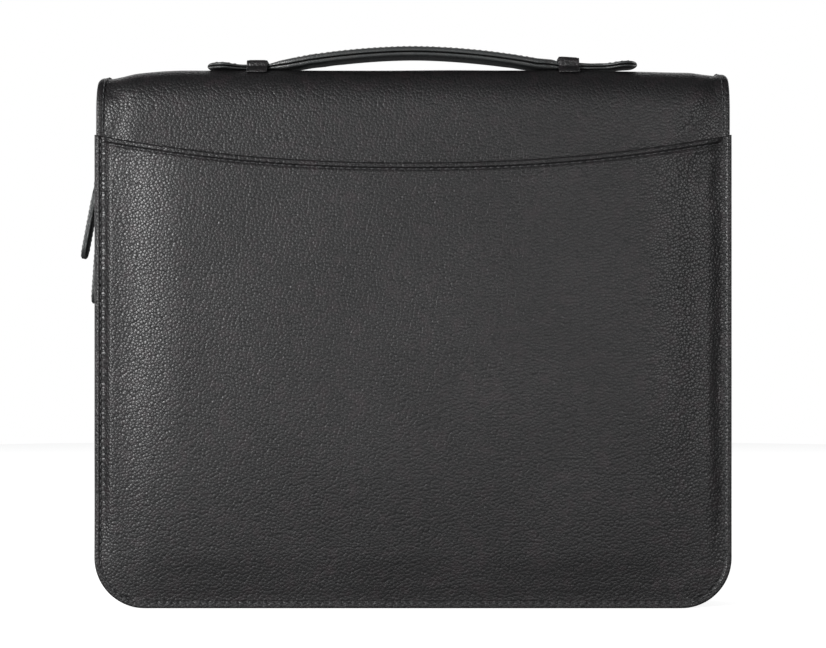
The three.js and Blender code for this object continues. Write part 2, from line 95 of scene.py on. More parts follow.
def ridge(distance: np.ndarray, middle: float, width: float) -> np.ndarray:
    """Give a rounded ridge of height 1.

    Args:
        distance: Where the ridge is read.
        middle: Where it is highest.
        width: Half its width at about a third of its height.

    Returns:
        The height at each place.
    """
    return np.exp(-(((np.asarray(distance, float) - middle) / width) ** 2))


def edge_round(distance: np.ndarray, radius: float) -> np.ndarray:
    """Say how far a surface falls towards its rounded edge.

    Args:
        distance: Distance in from the edge.
        radius: Radius of the rounding.

    Returns:
        The fall at each place, 0 beyond the radius.
    """
    short = np.clip(radius - np.asarray(distance, float), 0.0, 0.97 * radius)
    return radius - np.sqrt(radius**2 - short**2)


def graded(reach: float, first: float, growth: float, widest: float) -> np.ndarray:
    """Space stations finely at an edge and evenly further in.

    Args:
        reach: The last station.
        first: The first step.
        growth: How much each step grows by.
        widest: The largest step.

    Returns:
        Stations from 0 to reach.
    """
    places = [0.0]
    step = first
    while step < widest and places[-1] + step < reach:
        places.append(places[-1] + step)
        step *= growth
    count = max(1, math.ceil((reach - places[-1]) / widest))
    return np.concatenate([places, np.linspace(places[-1], reach, count + 1)[1:]])


def bordered(reach: float, widest: float, sewn: float = 9.9, close: float = 0.55) -> np.ndarray:
    """Space stations closely over a sewn border and more widely further in.

    Args:
        reach: The last station.
        widest: The largest step.
        sewn: How far in the border reaches.
        close: The step within the border.

    Returns:
        Stations from 0 to reach.
    """
    edge = np.array([0.0, 0.12, 0.30, 0.55, 0.90, 1.35])
    border = np.arange(edge[-1] + close, sewn, close)
    count = max(1, math.ceil((reach - border[-1]) / widest))
    return np.concatenate([edge, border, np.linspace(border[-1], reach, count + 1)[1:]])


def mirrored(half: float, inward: np.ndarray, step: float) -> np.ndarray:
    """Space places across a panel evenly in its middle and as given at its edges.

    Args:
        half: Half the panel's width.
        inward: Distances in from each edge.
        step: The step in the middle.

    Returns:
        Places as shares of the half width, from -1 to 1.
    """
    flat = np.arange(0.0, half - inward[-1] - step / 2, step)
    right = np.concatenate([flat, half - inward[::-1]]) / half
    return np.concatenate([-right[:0:-1], right])


def uneven(x: np.ndarray, z: np.ndarray, size: float, seed: float) -> np.ndarray:
    """Give smooth unevenness between about -1 and 1, the same on each run.

    Args:
        x: Places across, in millimetres.
        z: Places up, in millimetres.
        size: Size of the swells, in millimetres.
        seed: Which unevenness it is.

    Returns:
        A value for each place.
    """
    across, up = np.broadcast_arrays(x, z)
    flat = [
        noise.noise(Vector((a / size, b / size, seed)))
        for a, b in zip(across.ravel(), up.ravel())
    ]
    return np.array(flat).reshape(across.shape)


def signed_power(values: np.ndarray, power: float) -> np.ndarray:
    """Raise values to a power and keep their signs, which squares a circle's cosines and sines."""
    return np.sign(values) * np.abs(values) ** power


def run_lengths(line: np.ndarray) -> np.ndarray:
    """Measure how far along a line each of its points lies."""
    return np.concatenate([[0.0], np.cumsum(np.linalg.norm(np.diff(line, axis=0), axis=1))])


def upright(flat: np.ndarray, y: np.ndarray) -> np.ndarray:
    """Put Y between the X and Z of each row."""
    return np.stack([flat[:, 0], y, flat[:, 1]], axis=1)


def unit(rows: np.ndarray) -> np.ndarray:
    """Bring each row to length 1."""
    return rows / np.linalg.norm(rows, axis=1, keepdims=True)


def circle(count: int) -> tuple[np.ndarray, np.ndarray]:
    """Give the cosines and sines of evenly spaced turns."""
    turns = np.linspace(0.0, 2 * math.pi, count, endpoint=False)
    return np.cos(turns), np.sin(turns)


def read_at(runs: np.ndarray, steps: np.ndarray, values: np.ndarray) -> np.ndarray:
    """Read each column of values along a line.

    Args:
        runs: Where to read.
        steps: Where the rows of values stand.
        values: One row for each step.

    Returns:
        One row for each run.
    """
    columns = [np.interp(runs, steps, column) for column in values.T]
    return np.stack(columns, axis=1)


@dataclass(frozen=True)
class Crease:
    """A soft dent or swelling that the leather has taken in use, in millimetres and degrees."""

    x: float
    z: float
    length: float
    width: float
    turn: float
    depth: float

    def depth_at(self, x: np.ndarray, z: np.ndarray) -> np.ndarray:
        """Read the crease.

        Args:
            x: Places across.
            z: Places up.

        Returns:
            How far the surface is pressed in at each place.
        """
        turn = math.radians(self.turn)
        along = (x - self.x) * math.cos(turn) + (z - self.z) * math.sin(turn)
        across = (z - self.z) * math.cos(turn) - (x - self.x) * math.sin(turn)
        return self.depth * np.exp(-((along / self.length) ** 2) - (across / self.width) ** 2)


@dataclass(frozen=True)
class CaseForm:
    """The main form of the case in millimetres. X and Y are 0 at its middle, and Z is 0 on the floor."""

    half_width: float = 167.0
    height: float = 285.0
    half_rim: float = 21.0
    wall: float = 2.5
    bottom_corner: float = 26.0
    spine_corner: float = 4.5
    spine_rise: float = 23.0
    squareness: float = 2.6
    border: float = 8.0
    stand: float = 1.2
    padding_ramp: float = 12.0
    crown: float = 0.8
    clearance: float = 0.3
    gusset_inset: float = 2.5
    gusset_top: float = 250.0
    left_droop: float = 3.4
    left_droop_reach: tuple[float, float] = (118.0, 52.0)
    left_droop_power: float = 1.4
    right_droop: float = 1.2
    right_droop_reach: tuple[float, float] = (70.0, 90.0)
    droop_start: float = 232.0
    droop_height: float = 50.0
    stitch_pitch: float = 3.9
    middle: Vector = field(default_factory=lambda: sum(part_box("cover_wrap"), Vector()) / (2 * MM))

    @property
    def spring(self) -> float:
        """Height where the covers begin to round into the spine."""
        return self.height - self.spine_rise - self.stand

    def to_frame(self, points: np.ndarray) -> np.ndarray:
        """Move points of the case into the frame, in metres."""
        return (np.asarray(points, float) + [self.middle.x, self.middle.y, 0.0]) * MM

    def reach(self, z: np.ndarray, spread: float = 0.0) -> np.ndarray:
        """Give half the width of the front view at each height.

        Args:
            z: Heights.
            spread: How much wider a panel is than the cover.

        Returns:
            The half width, less in the rounded corners.
        """
        corner = self.bottom_corner + spread
        low = np.clip(corner - np.asarray(z, float), 0.0, corner)
        high = np.clip(z - (self.height - self.spine_corner), 0.0, self.spine_corner)
        straight = self.half_width + spread - corner - self.spine_corner
        return straight + np.sqrt(corner**2 - low**2) + np.sqrt(self.spine_corner**2 - high**2)

    def inset(self, x: np.ndarray, z: np.ndarray, spread: float = 0.0) -> np.ndarray:
        """Give the distance in from the sides and the rounded bottom.

        Args:
            x: Places across.
            z: Places up.
            spread: How much wider a panel is than the cover.

        Returns:
            The distance at each place.
        """
        corner = self.bottom_corner + spread
        side = self.half_width + spread - np.abs(x)
        sideways = np.abs(x) - (self.half_width + spread - corner)
        downwards = corner - z
        rounded = corner - np.hypot(sideways, downwards)
        in_corner = (sideways > 0) & (downwards > 0)
        return np.maximum(0.0, np.where(in_corner, rounded, np.minimum(side, z)))

    def crown_at(self, x: np.ndarray, z: np.ndarray) -> np.ndarray:
        """Give the share of the full crown at each place of a cover.

        Args:
            x: Places across.
            z: Places up.

        Returns:
            1 at the middle and 0 at the edges.
        """
        across = np.clip(1 - (x / self.half_width) ** 2, 0, 1)
        up = np.clip(1 - (2 * z / self.spring - 1) ** 2, 0, 1)
        return across * up

    def droop(self, x: np.ndarray, z: np.ndarray) -> np.ndarray:
        """Say how far the ends of the soft spine hang below its middle.

        Args:
            x: Places across.
            z: Places up.

        Returns:
            The fall at each place.
        """
        left = self.left_droop * ramp(-x, *self.left_droop_reach) ** self.left_droop_power
        right = self.right_droop * ramp(x, *self.right_droop_reach)
        return (left + right) * ramp(z, self.droop_start, self.droop_height)

    def spine_top(self, y: np.ndarray) -> np.ndarray:
        """Give the height of the padded spine at distances from its middle.

        Args:
            y: Places from front to back.

        Returns:
            The height at each.
        """
        share = np.abs(y) / (self.half_rim + self.stand)
        rise = (1 - share**self.squareness) ** (1 / self.squareness)
        return self.spring + (self.spine_rise + self.stand) * rise


FORM = CaseForm()


def grid_faces(rows: int, columns: int, start: int = 0, closed: bool = False, flip: bool = False) -> Faces:
    """Join a grid of points into quads.

    Args:
        rows: Rows of points.
        columns: Points in a row.
        start: Index of the first point.
        closed: Whether each row runs round to its own first point.
        flip: Whether the faces turn the other way.

    Returns:
        The faces.
    """
    j, i = np.meshgrid(np.arange(rows - 1), np.arange(columns if closed else columns - 1), indexing="ij")
    following = (i + 1) % columns
    a = start + j * columns + i
    b = start + j * columns + following
    c = start + (j + 1) * columns + following
    d = start + (j + 1) * columns + i
    order = (a, d, c, b) if flip else (a, b, c, d)
    return [tuple(face) for face in np.stack([part.ravel() for part in order], axis=1).tolist()]


def shell(outer: np.ndarray, inner: np.ndarray) -> Form:
    """Close two grids of points into one thin body.

    Args:
        outer: Rows by columns of points, whose faces turn outwards.
        inner: The same grid on the other side of the wall.

    Returns:
        Points and faces.
    """
    rows, columns = outer.shape[:2]
    size = rows * columns
    points = np.concatenate([outer.reshape(-1, 3), inner.reshape(-1, 3)])
    faces = grid_faces(rows, columns) + grid_faces(rows, columns, size, flip=True)
    rim = [(0, i) for i in range(columns - 1)]
    rim += [(j, columns - 1) for j in range(rows - 1)]
    rim += [(rows - 1, i) for i in range(columns - 1, 0, -1)]
    rim += [(j, 0) for j in range(rows - 1, 0, -1)]
    index = [j * columns + i for j, i in rim]
    for here, after in zip(index, index[1:] + index[:1]):
        faces.append((after, here, here + size, after + size))
    return points, faces


def tube(rings: np.ndarray, closed: bool = False) -> Form:
    """Skin a row of rings.

    Args:
        rings: Rings by points of each ring.
        closed: Whether the last ring joins the first. Otherwise both ends are capped.

    Returns:
        Points and faces.
    """
    count, around = rings.shape[:2]
    points = rings.reshape(-1, 3)
    faces = grid_faces(count, around, closed=True)
    if closed:
        last = (count - 1) * around
        for i in range(around):
            after = (i + 1) % around
            faces.append((last + i, last + after, after, i))
        return points, faces
    faces.append(tuple(range(around - 1, -1, -1)))
    faces.append(tuple((count - 1) * around + i for i in range(around)))
    return points, faces


def gathered(parts: list[Form]) -> Form:
    """Put several bodies into one mesh.

    Args:
        parts: Points and faces of each.

    Returns:
        Points and faces of all of them.
    """
    points: list[np.ndarray] = []
    faces: Faces = []
    start = 0
    for part_points, part_faces in parts:
        points.append(part_points)
        faces += [tuple(start + i for i in face) for face in part_faces]
        start += len(part_points)
    return np.concatenate(points), faces


Colour = tuple[float, float, float, float]
Span = tuple[float, float]
Layer = tuple[bpy.types.NodeSocket, float]


class NodeBench:
    """Lays out the shader nodes of one material."""

    def __init__(self, name: str) -> None:
        """Start a material with its output node and the object's own coordinates.

        Args:
            name: The material's name.
        """
        self.material = bpy.data.materials.new(name)
        self.material.use_nodes = True
        self.tree = self.material.node_tree
        self.tree.nodes.clear()
        self.output = self.tree.nodes.new("ShaderNodeOutputMaterial")
        self.place = self.add("TexCoord").outputs["Object"]

    def add(self, kind: str, settings: dict[str, object] | None = None, **inputs: object) -> bpy.types.Node:
        """Add a node.

        Args:
            kind: The node's type without its ShaderNode prefix.
            settings: The node's own options.
            inputs: What its sockets hold, a value or a socket to link. The key is the socket's name with _
                for a space, or i and its place.

        Returns:
            The node.
        """
        node = self.tree.nodes.new("ShaderNode" + kind)
        for key, value in (settings or {}).items():
            setattr(node, key, value)
        for key, value in inputs.items():
            by_place = key[:1] == "i" and key[1:].isdigit()
            socket = node.inputs[int(key[1:]) if by_place else key.replace("_", " ")]
            if isinstance(value, bpy.types.NodeSocket):
                self.tree.links.new(value, socket)
            else:
                socket.default_value = value
        return node

    def maths(self, operation: str, first: object, second: object = 0.0) -> bpy.types.NodeSocket:
        """Combine two values and return the result's socket."""
        return self.add("Math", {"operation": operation}, i0=first, i1=second).outputs[0]

    def span(self, value: object, source: Span, target: Span = (0.0, 1.0)) -> bpy.types.NodeSocket:
        """Stretch a range of values onto another one.

        Args:
            value: What is stretched.
            source: The range that it comes in.
            target: The range that it goes to.

        Returns:
            The stretched value's socket.
        """
        settings = {"interpolation_type": "SMOOTHSTEP"}
        low, high = source
        ends = {"From_Min": low, "From_Max": high, "To_Min": target[0], "To_Max": target[1]}
        return self.add("MapRange", settings, Value=value, **ends).outputs[0]

    def noise(self, place: object, scale: float, detail: float) -> bpy.types.NodeSocket:
        """Add smooth noise and return its value's socket."""
        return self.add("TexNoise", Vector=place, Scale=scale, Detail=detail).outputs["Fac"]

    def wave(self, bands: str, **inputs: object) -> bpy.types.NodeSocket:
        """Add waves across one direction of the object and return their value's socket."""
        return self.add("TexWave", {"bands_direction": bands}, Vector=self.place, **inputs).outputs["Fac"]

    def layered(self, base: bpy.types.NodeSocket, *layers: Layer) -> bpy.types.NodeSocket:
        """Add shares of other values to a value.

        Args:
            base: The value.
            layers: The other values, each with its share.

        Returns:
            The sum's socket.
        """
        for value, share in layers:
            base = self.maths("ADD", base, self.maths("MULTIPLY", value, share))
        return base

    def blend(self, share: object, first: object, second: object) -> bpy.types.NodeSocket:
        """Mix two colours and return the result's socket."""
        node = self.add("Mix", {"data_type": "RGBA"}, i0=share, i6=first, i7=second)
        return node.outputs[2]

    def finish(self, shader: bpy.types.Node) -> bpy.types.Material:
        """Join the shader to the output and hand the material over."""
        self.tree.links.new(shader.outputs[0], self.output.inputs["Surface"])
        return self.material


@dataclass(frozen=True)
class LeatherFinish:
    """Pebbled black leather with a soft gloss on the tops of its grain. Sizes in metres."""

    name: str = "pebbled_leather"
    # Dark colour: painted shade in the hollows between the pebbles, and also a darker tone in slow random
    # patches.
    hollow_shade_and_dark_tone: Colour = (0.0025, 0.0025, 0.0030, 1.0)
    top: Colour = (0.0190, 0.0180, 0.0188, 1.0)
    warm: Colour = (0.0260, 0.0190, 0.0215, 1.0)
    grain_turn: tuple[float, float, float] = (0.5, 0.4, 0.7)
    pebble: float = 0.0015
    relief: float = 0.000105
    strength: float = 1.0
    evenness: float = 0.82
    drift: float = 0.55
    drift_reach: float = 0.6
    dome: float = 2.2
    edge_share: float = 0.35
    pore_share: float = 0.10
    swell_share: float = 0.20
    gloss_low: float = 0.34
    gloss_high: float = 0.55
    specular: float = 0.5

    def material(self) -> bpy.types.Material:
        """Build the material: warped cells for the pebbles, fine pores on them, painted shade that darkens
        the colour from the pebble tops into the hollows between them, and slow shifts of tint.

        Returns:
            The leather.
        """
        bench = NodeBench(self.name)
        place = bench.add("Mapping", Vector=bench.place, Rotation=self.grain_turn).outputs[0]
        drift = bench.add("TexNoise", Vector=place, Scale=self.drift / self.pebble, Detail=2.0)
        middle = {"i0": drift.outputs["Color"], "i1": (0.5, 0.5, 0.5)}
        centred = bench.add("VectorMath", {"operation": "SUBTRACT"}, **middle).outputs[0]
        reach = self.drift_reach * self.pebble
        shift = bench.add("VectorMath", {"operation": "SCALE"}, i0=centred, Scale=reach).outputs[0]
        warped = bench.add("VectorMath", {"operation": "ADD"}, i0=place, i1=shift).outputs[0]
        cells = {"Vector": warped, "Scale": 1.0 / self.pebble, "Randomness": self.evenness}
        far = bench.add("TexVoronoi", {"feature": "F1"}, **cells).outputs["Distance"]
        rim = bench.add("TexVoronoi", {"feature": "DISTANCE_TO_EDGE"}, **cells).outputs["Distance"]
        bowl = bench.maths("MULTIPLY", bench.maths("MULTIPLY", far, far), self.dome)
        pebbles = bench.span(rim, (0.0, 0.16))
        pores = bench.noise(place, 3.0 / self.pebble, 2.0)
        swell = bench.noise(place, 0.22 / self.pebble, 1.0)
        layers = ((pebbles, self.edge_share), (pores, self.pore_share), (swell, self.swell_share))
        height = bench.layered(bench.maths("SUBTRACT", 1.0, bowl), *layers)
        grain = bench.add("Bump", Strength=self.strength, Distance=self.relief, Height=height)
        cloud = bench.noise(place, 22.0, 2.0)
        tint = bench.noise(place, 150.0, 3.0)
        # Painted shade: the colour darkens from the pebble tops into the hollows between them.
        skin = bench.blend(bench.span(pebbles, (0.1, 0.9)), self.hollow_shade_and_dark_tone, self.top)
        skin = bench.blend(bench.span(tint, (0.45, 0.75), (0.0, 0.7)), skin, self.warm)
        # Slow random patches take the tone towards the same dark colour.
        skin = bench.blend(bench.span(cloud, (0.3, 0.7), (0.0, 0.35)), skin, self.hollow_shade_and_dark_tone)
        worn = bench.layered(bench.maths("MULTIPLY", pores, 0.35), (cloud, 0.25))
        rubbed = bench.maths("SUBTRACT", pebbles, worn)
        rough = bench.span(rubbed, (-0.2, 0.75), (self.gloss_high, self.gloss_low))
        shader = bench.add("BsdfPrincipled", Base_Color=skin, Roughness=rough, Normal=grain.outputs[0])
        shader.inputs["Specular IOR Level"].default_value = self.specular
        return bench.finish(shader)


@dataclass(frozen=True)
class ThreadFinish:
    """Waxed black thread with a fine twist."""

    name: str = "waxed_thread"
    dark: Colour = (0.006, 0.006, 0.007, 1.0)
    light: Colour = (0.085, 0.085, 0.088, 1.0)
    roughness: float = 0.42

    def material(self) -> bpy.types.Material:
        """Build the material: slanting strands across the thread, with a colour that is lighter on the
        strands' crests and darker in the grooves between them, which is painted highlight and painted shade.

        Returns:
            The thread.
        """
        bench = NodeBench(self.name)
        strands = bench.wave("DIAGONAL", Scale=900.0, Distortion=1.5, Detail=1.0)
        relief = bench.add("Bump", Strength=0.6, Distance=0.0001, Height=strands).outputs[0]
        # Painted highlight and shade: the colour follows the strands' relief, lighter on the crests and
        # darker in the grooves.
        colour = bench.blend(strands, self.dark, self.light)
        shader = bench.add("BsdfPrincipled", Base_Color=colour, Roughness=self.roughness, Normal=relief)
        return bench.finish(shader)


@dataclass(frozen=True)
class TapeFinish:
    """Woven black zip tape. Its ribs are in the mesh, and the material adds the yarns."""

    name: str = "woven_tape"
    dark: Colour = (0.006, 0.006, 0.007, 1.0)
    light: Colour = (0.03, 0.03, 0.032, 1.0)
    yarn: float = 0.0005

    def material(self) -> bpy.types.Material:
        """Build the material: crossing yarns with a little fuzz, and a colour that is darker where the weave
        sinks between the raised yarns, which is painted shade.

        Returns:
            The tape's cloth.
        """
        bench = NodeBench(self.name)
        across = bench.wave("Y", Scale=0.16 / self.yarn, Distortion=0.4)
        upward = bench.wave("Z", Scale=0.16 / self.yarn, Distortion=0.4)
        fuzz = bench.noise(bench.place, 5000.0, 2.0)
        height = bench.layered(bench.maths("MAXIMUM", across, upward), (fuzz, 0.5))
        relief = bench.add("Bump", Strength=0.7, Distance=0.0001, Height=height)
        # Painted shade: the colour follows the weave's height, lighter where the yarns and the fuzz stand
        # highest and darker between them.
        colour = bench.blend(bench.span(height, (0.3, 1.4)), self.dark, self.light)
        shader = bench.add("BsdfPrincipled", Base_Color=colour, Roughness=0.85, Normal=relief.outputs[0])
        shader.inputs["Sheen Weight"].default_value = 0.15
        return bench.finish(shader)


@dataclass(frozen=True)
class MetalFinish:
    """Nickel-plated metal with fine brushing and small rubs."""

    name: str = "plated_metal"
    colour: Colour = (0.36, 0.36, 0.37, 1.0)
    worn: Colour = (0.22, 0.21, 0.20, 1.0)
    gloss_low: float = 0.36
    gloss_high: float = 0.54

    def material(self) -> bpy.types.Material:
        """Build the material: stretched noise for the brushing and slow noise for the rubs.

        Returns:
            The metal.
        """
        bench = NodeBench(self.name)
        stretched = bench.add("Mapping", Vector=bench.place, Scale=(1.0, 1.0, 0.08)).outputs[0]
        brushing = bench.noise(stretched, 4000.0, 2.0)
        rubs = bench.noise(bench.place, 320.0, 3.0)
        relief = bench.add("Bump", Strength=0.15, Distance=0.00005, Height=brushing).outputs[0]
        colour = bench.blend(bench.span(rubs, (0.45, 0.7), (0.0, 0.8)), self.colour, self.worn)
        rough = bench.span(rubs, (0.3, 0.7), (self.gloss_low, self.gloss_high))
        shader = bench.add("BsdfPrincipled", Base_Color=colour, Roughness=rough, Metallic=1.0, Normal=relief)
        return bench.finish(shader)


Finish = LeatherFinish | ThreadFinish | TapeFinish | MetalFinish

LEATHER = LeatherFinish()
# The strap's leather, with the same painted shade in the hollows of its grain.
SMOOTH_LEATHER = LeatherFinish(
    name="strap_leather",
    hollow_shade_and_dark_tone=(0.032, 0.034, 0.034, 1.0),
    top=(0.058, 0.062, 0.062, 1.0),
    warm=(0.062, 0.060, 0.058, 1.0),
    pebble=0.0013,
    relief=0.00012,
    strength=0.5,
    gloss_low=0.30,
    gloss_high=0.48,
)
THREAD = ThreadFinish()
TAPE = TapeFinish()
METAL = MetalFinish()


class Wardrobe:
    """Keeps each finish's material, so that it is built once."""

    made: dict[str, bpy.types.Material] = {}

    @classmethod
    def material(cls, finish: Finish) -> bpy.types.Material:
        """Give the material of a finish.

        Args:
            finish: The finish.

        Returns:
            Its material, the same on each call.
        """
        if finish.name not in cls.made:
            cls.made[finish.name] = finish.material()
        return cls.made[finish.name]


@dataclass
class Piece:
    """One finished mesh, with what the frame has to know about it. Points are the case's, in millimetres."""

    name: str
    form: Form
    finish: Finish = LEATHER
    slot: Slot = Slot.LEATHER
    body: Body = Body.CASE
    stands_for: tuple[str, ...] = ()

    def place(self) -> bpy.types.Object:
        """Make the object in the frame.

        Returns:
            The object, riding on its body.
        """
        points, faces = self.form
        mesh = bpy.data.meshes.new(self.name)
        mesh.from_pydata(FORM.to_frame(points).tolist(), [], faces)
        mesh.polygons.foreach_set("use_smooth", [True] * len(mesh.polygons))
        mesh.materials.append(Wardrobe.material(self.finish))
        mesh.update()
        thing = bpy.data.objects.new(self.name, mesh)
        bpy.context.scene.collection.objects.link(thing)
        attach(thing, self.body.value)
        if self.stands_for:
            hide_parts(*self.stands_for)
        mesh.calc_loop_triangles()
        LOG.info("%s: %d triangles on %s", self.name, len(mesh.loop_triangles), self.body.value)
        return thing


@dataclass(frozen=True)
class Stitches:
    """Thread stitches along a seam, in millimetres."""

    length: float = 3.0
    radius: float = 0.40
    sides: int = 6
    sink: float = 0.12

    def along(self, middles: np.ndarray, runs: np.ndarray, outs: np.ndarray) -> Form:
        """Lay one stitch at each place.

        Args:
            middles: The middle of each stitch on the leather.
            runs: The seam's direction there.
            outs: The direction out of the leather there.

        Returns:
            Points and faces of all the stitches.
        """
        shares = np.array([-1.0, -0.86, -0.45, 0.0, 0.45, 0.86, 1.0])
        swell = np.array([0.3, 0.72, 0.98, 1.0, 0.98, 0.72, 0.3])
        rise = np.array([-1.2, -0.75, -0.1, 0.0, -0.1, -0.75, -1.2]) * self.radius
        cos, sin = circle(self.sides)
        runs = unit(runs)
        outs = unit(outs)
        asides = np.cross(outs, runs)
        parts = []
        for middle, run, out, aside in zip(middles, runs, outs, asides):
            spine = middle + np.outer(shares * self.length / 2, run)
            spine = spine + np.outer(rise + self.radius - self.sink, out)
            sweep = np.outer(cos, aside) + np.outer(sin, out)
            rings = spine[:, None, :] + (swell * self.radius)[:, None, None] * sweep[None, :, :]
            parts.append(tube(rings))
        return gathered(parts)


@dataclass(frozen=True)
class RimPath:
    """The way round the left side, the bottom and the right side, at an inset from the outline."""

    inset: float
    left_top: float
    right_top: float

    @property
    def radius(self) -> float:
        """Radius of the two corners."""
        return FORM.bottom_corner - self.inset

    @property
    def lengths(self) -> tuple[float, ...]:
        """Lengths of the left side, a corner, the bottom, the other corner and the right side.

        Returns:
            The five lengths, in the path's order.
        """
        corner = math.pi * self.radius / 2
        bottom = 2 * (FORM.half_width - FORM.bottom_corner)
        left = self.left_top - FORM.bottom_corner
        return left, corner, bottom, corner, self.right_top - FORM.bottom_corner

    def places(self, runs: np.ndarray) -> tuple[np.ndarray, np.ndarray]:
        """Follow the path.

        Args:
            runs: Distances from its left top.

        Returns:
            X and Z of each place, and the path's direction there as X and Z.
        """
        starts = np.cumsum((0.0, *self.lengths))
        parts = [np.clip(runs - start, 0.0, length) for start, length in zip(starts, self.lengths)]
        down, first, across, second, up = parts
        first = first / self.radius
        second = second / self.radius
        x = self.radius * (1 - np.cos(first) + np.sin(second)) + across + self.inset - FORM.half_width
        z = self.radius * (1 - np.cos(second) - np.sin(first)) + self.left_top - down + up
        turn = first + second
        return np.stack([x, z], axis=1), np.stack([np.sin(turn), -np.cos(turn)], axis=1)

    def evenly(self, pitch: float, margin: float = 0.0) -> np.ndarray:
        """Give distances along the path, a pitch apart, with a margin free at each end.

        Args:
            pitch: How far apart they are, to the nearest whole count.
            margin: What stays free at each end.

        Returns:
            The distances.
        """
        length = sum(self.lengths)
        count = max(2, round((length - 2 * margin) / pitch) + 1)
        return np.linspace(margin, length - margin, count)

    def sweep(self, section: np.ndarray, runs: np.ndarray, lift: np.ndarray | None = None) -> np.ndarray:
        """Carry a closed section along the path.

        Args:
            section: Its points, each how far further in from the path, and Y.
            runs: Where its copies stand.
            lift: How far each copy is moved outwards, if at all.

        Returns:
            Rings of points for a tube.
        """
        spots, ways = self.places(runs)
        inwards = np.stack([-ways[:, 1], ways[:, 0]], axis=1)
        depth = section[None, :, 0] - (0.0 if lift is None else lift[:, None])
        x = spots[:, 0, None] + inwards[:, 0, None] * depth
        z = spots[:, 1, None] + inwards[:, 1, None] * depth
        y = np.broadcast_to(section[None, :, 1], x.shape)
        return np.stack([x, y, z], axis=2)


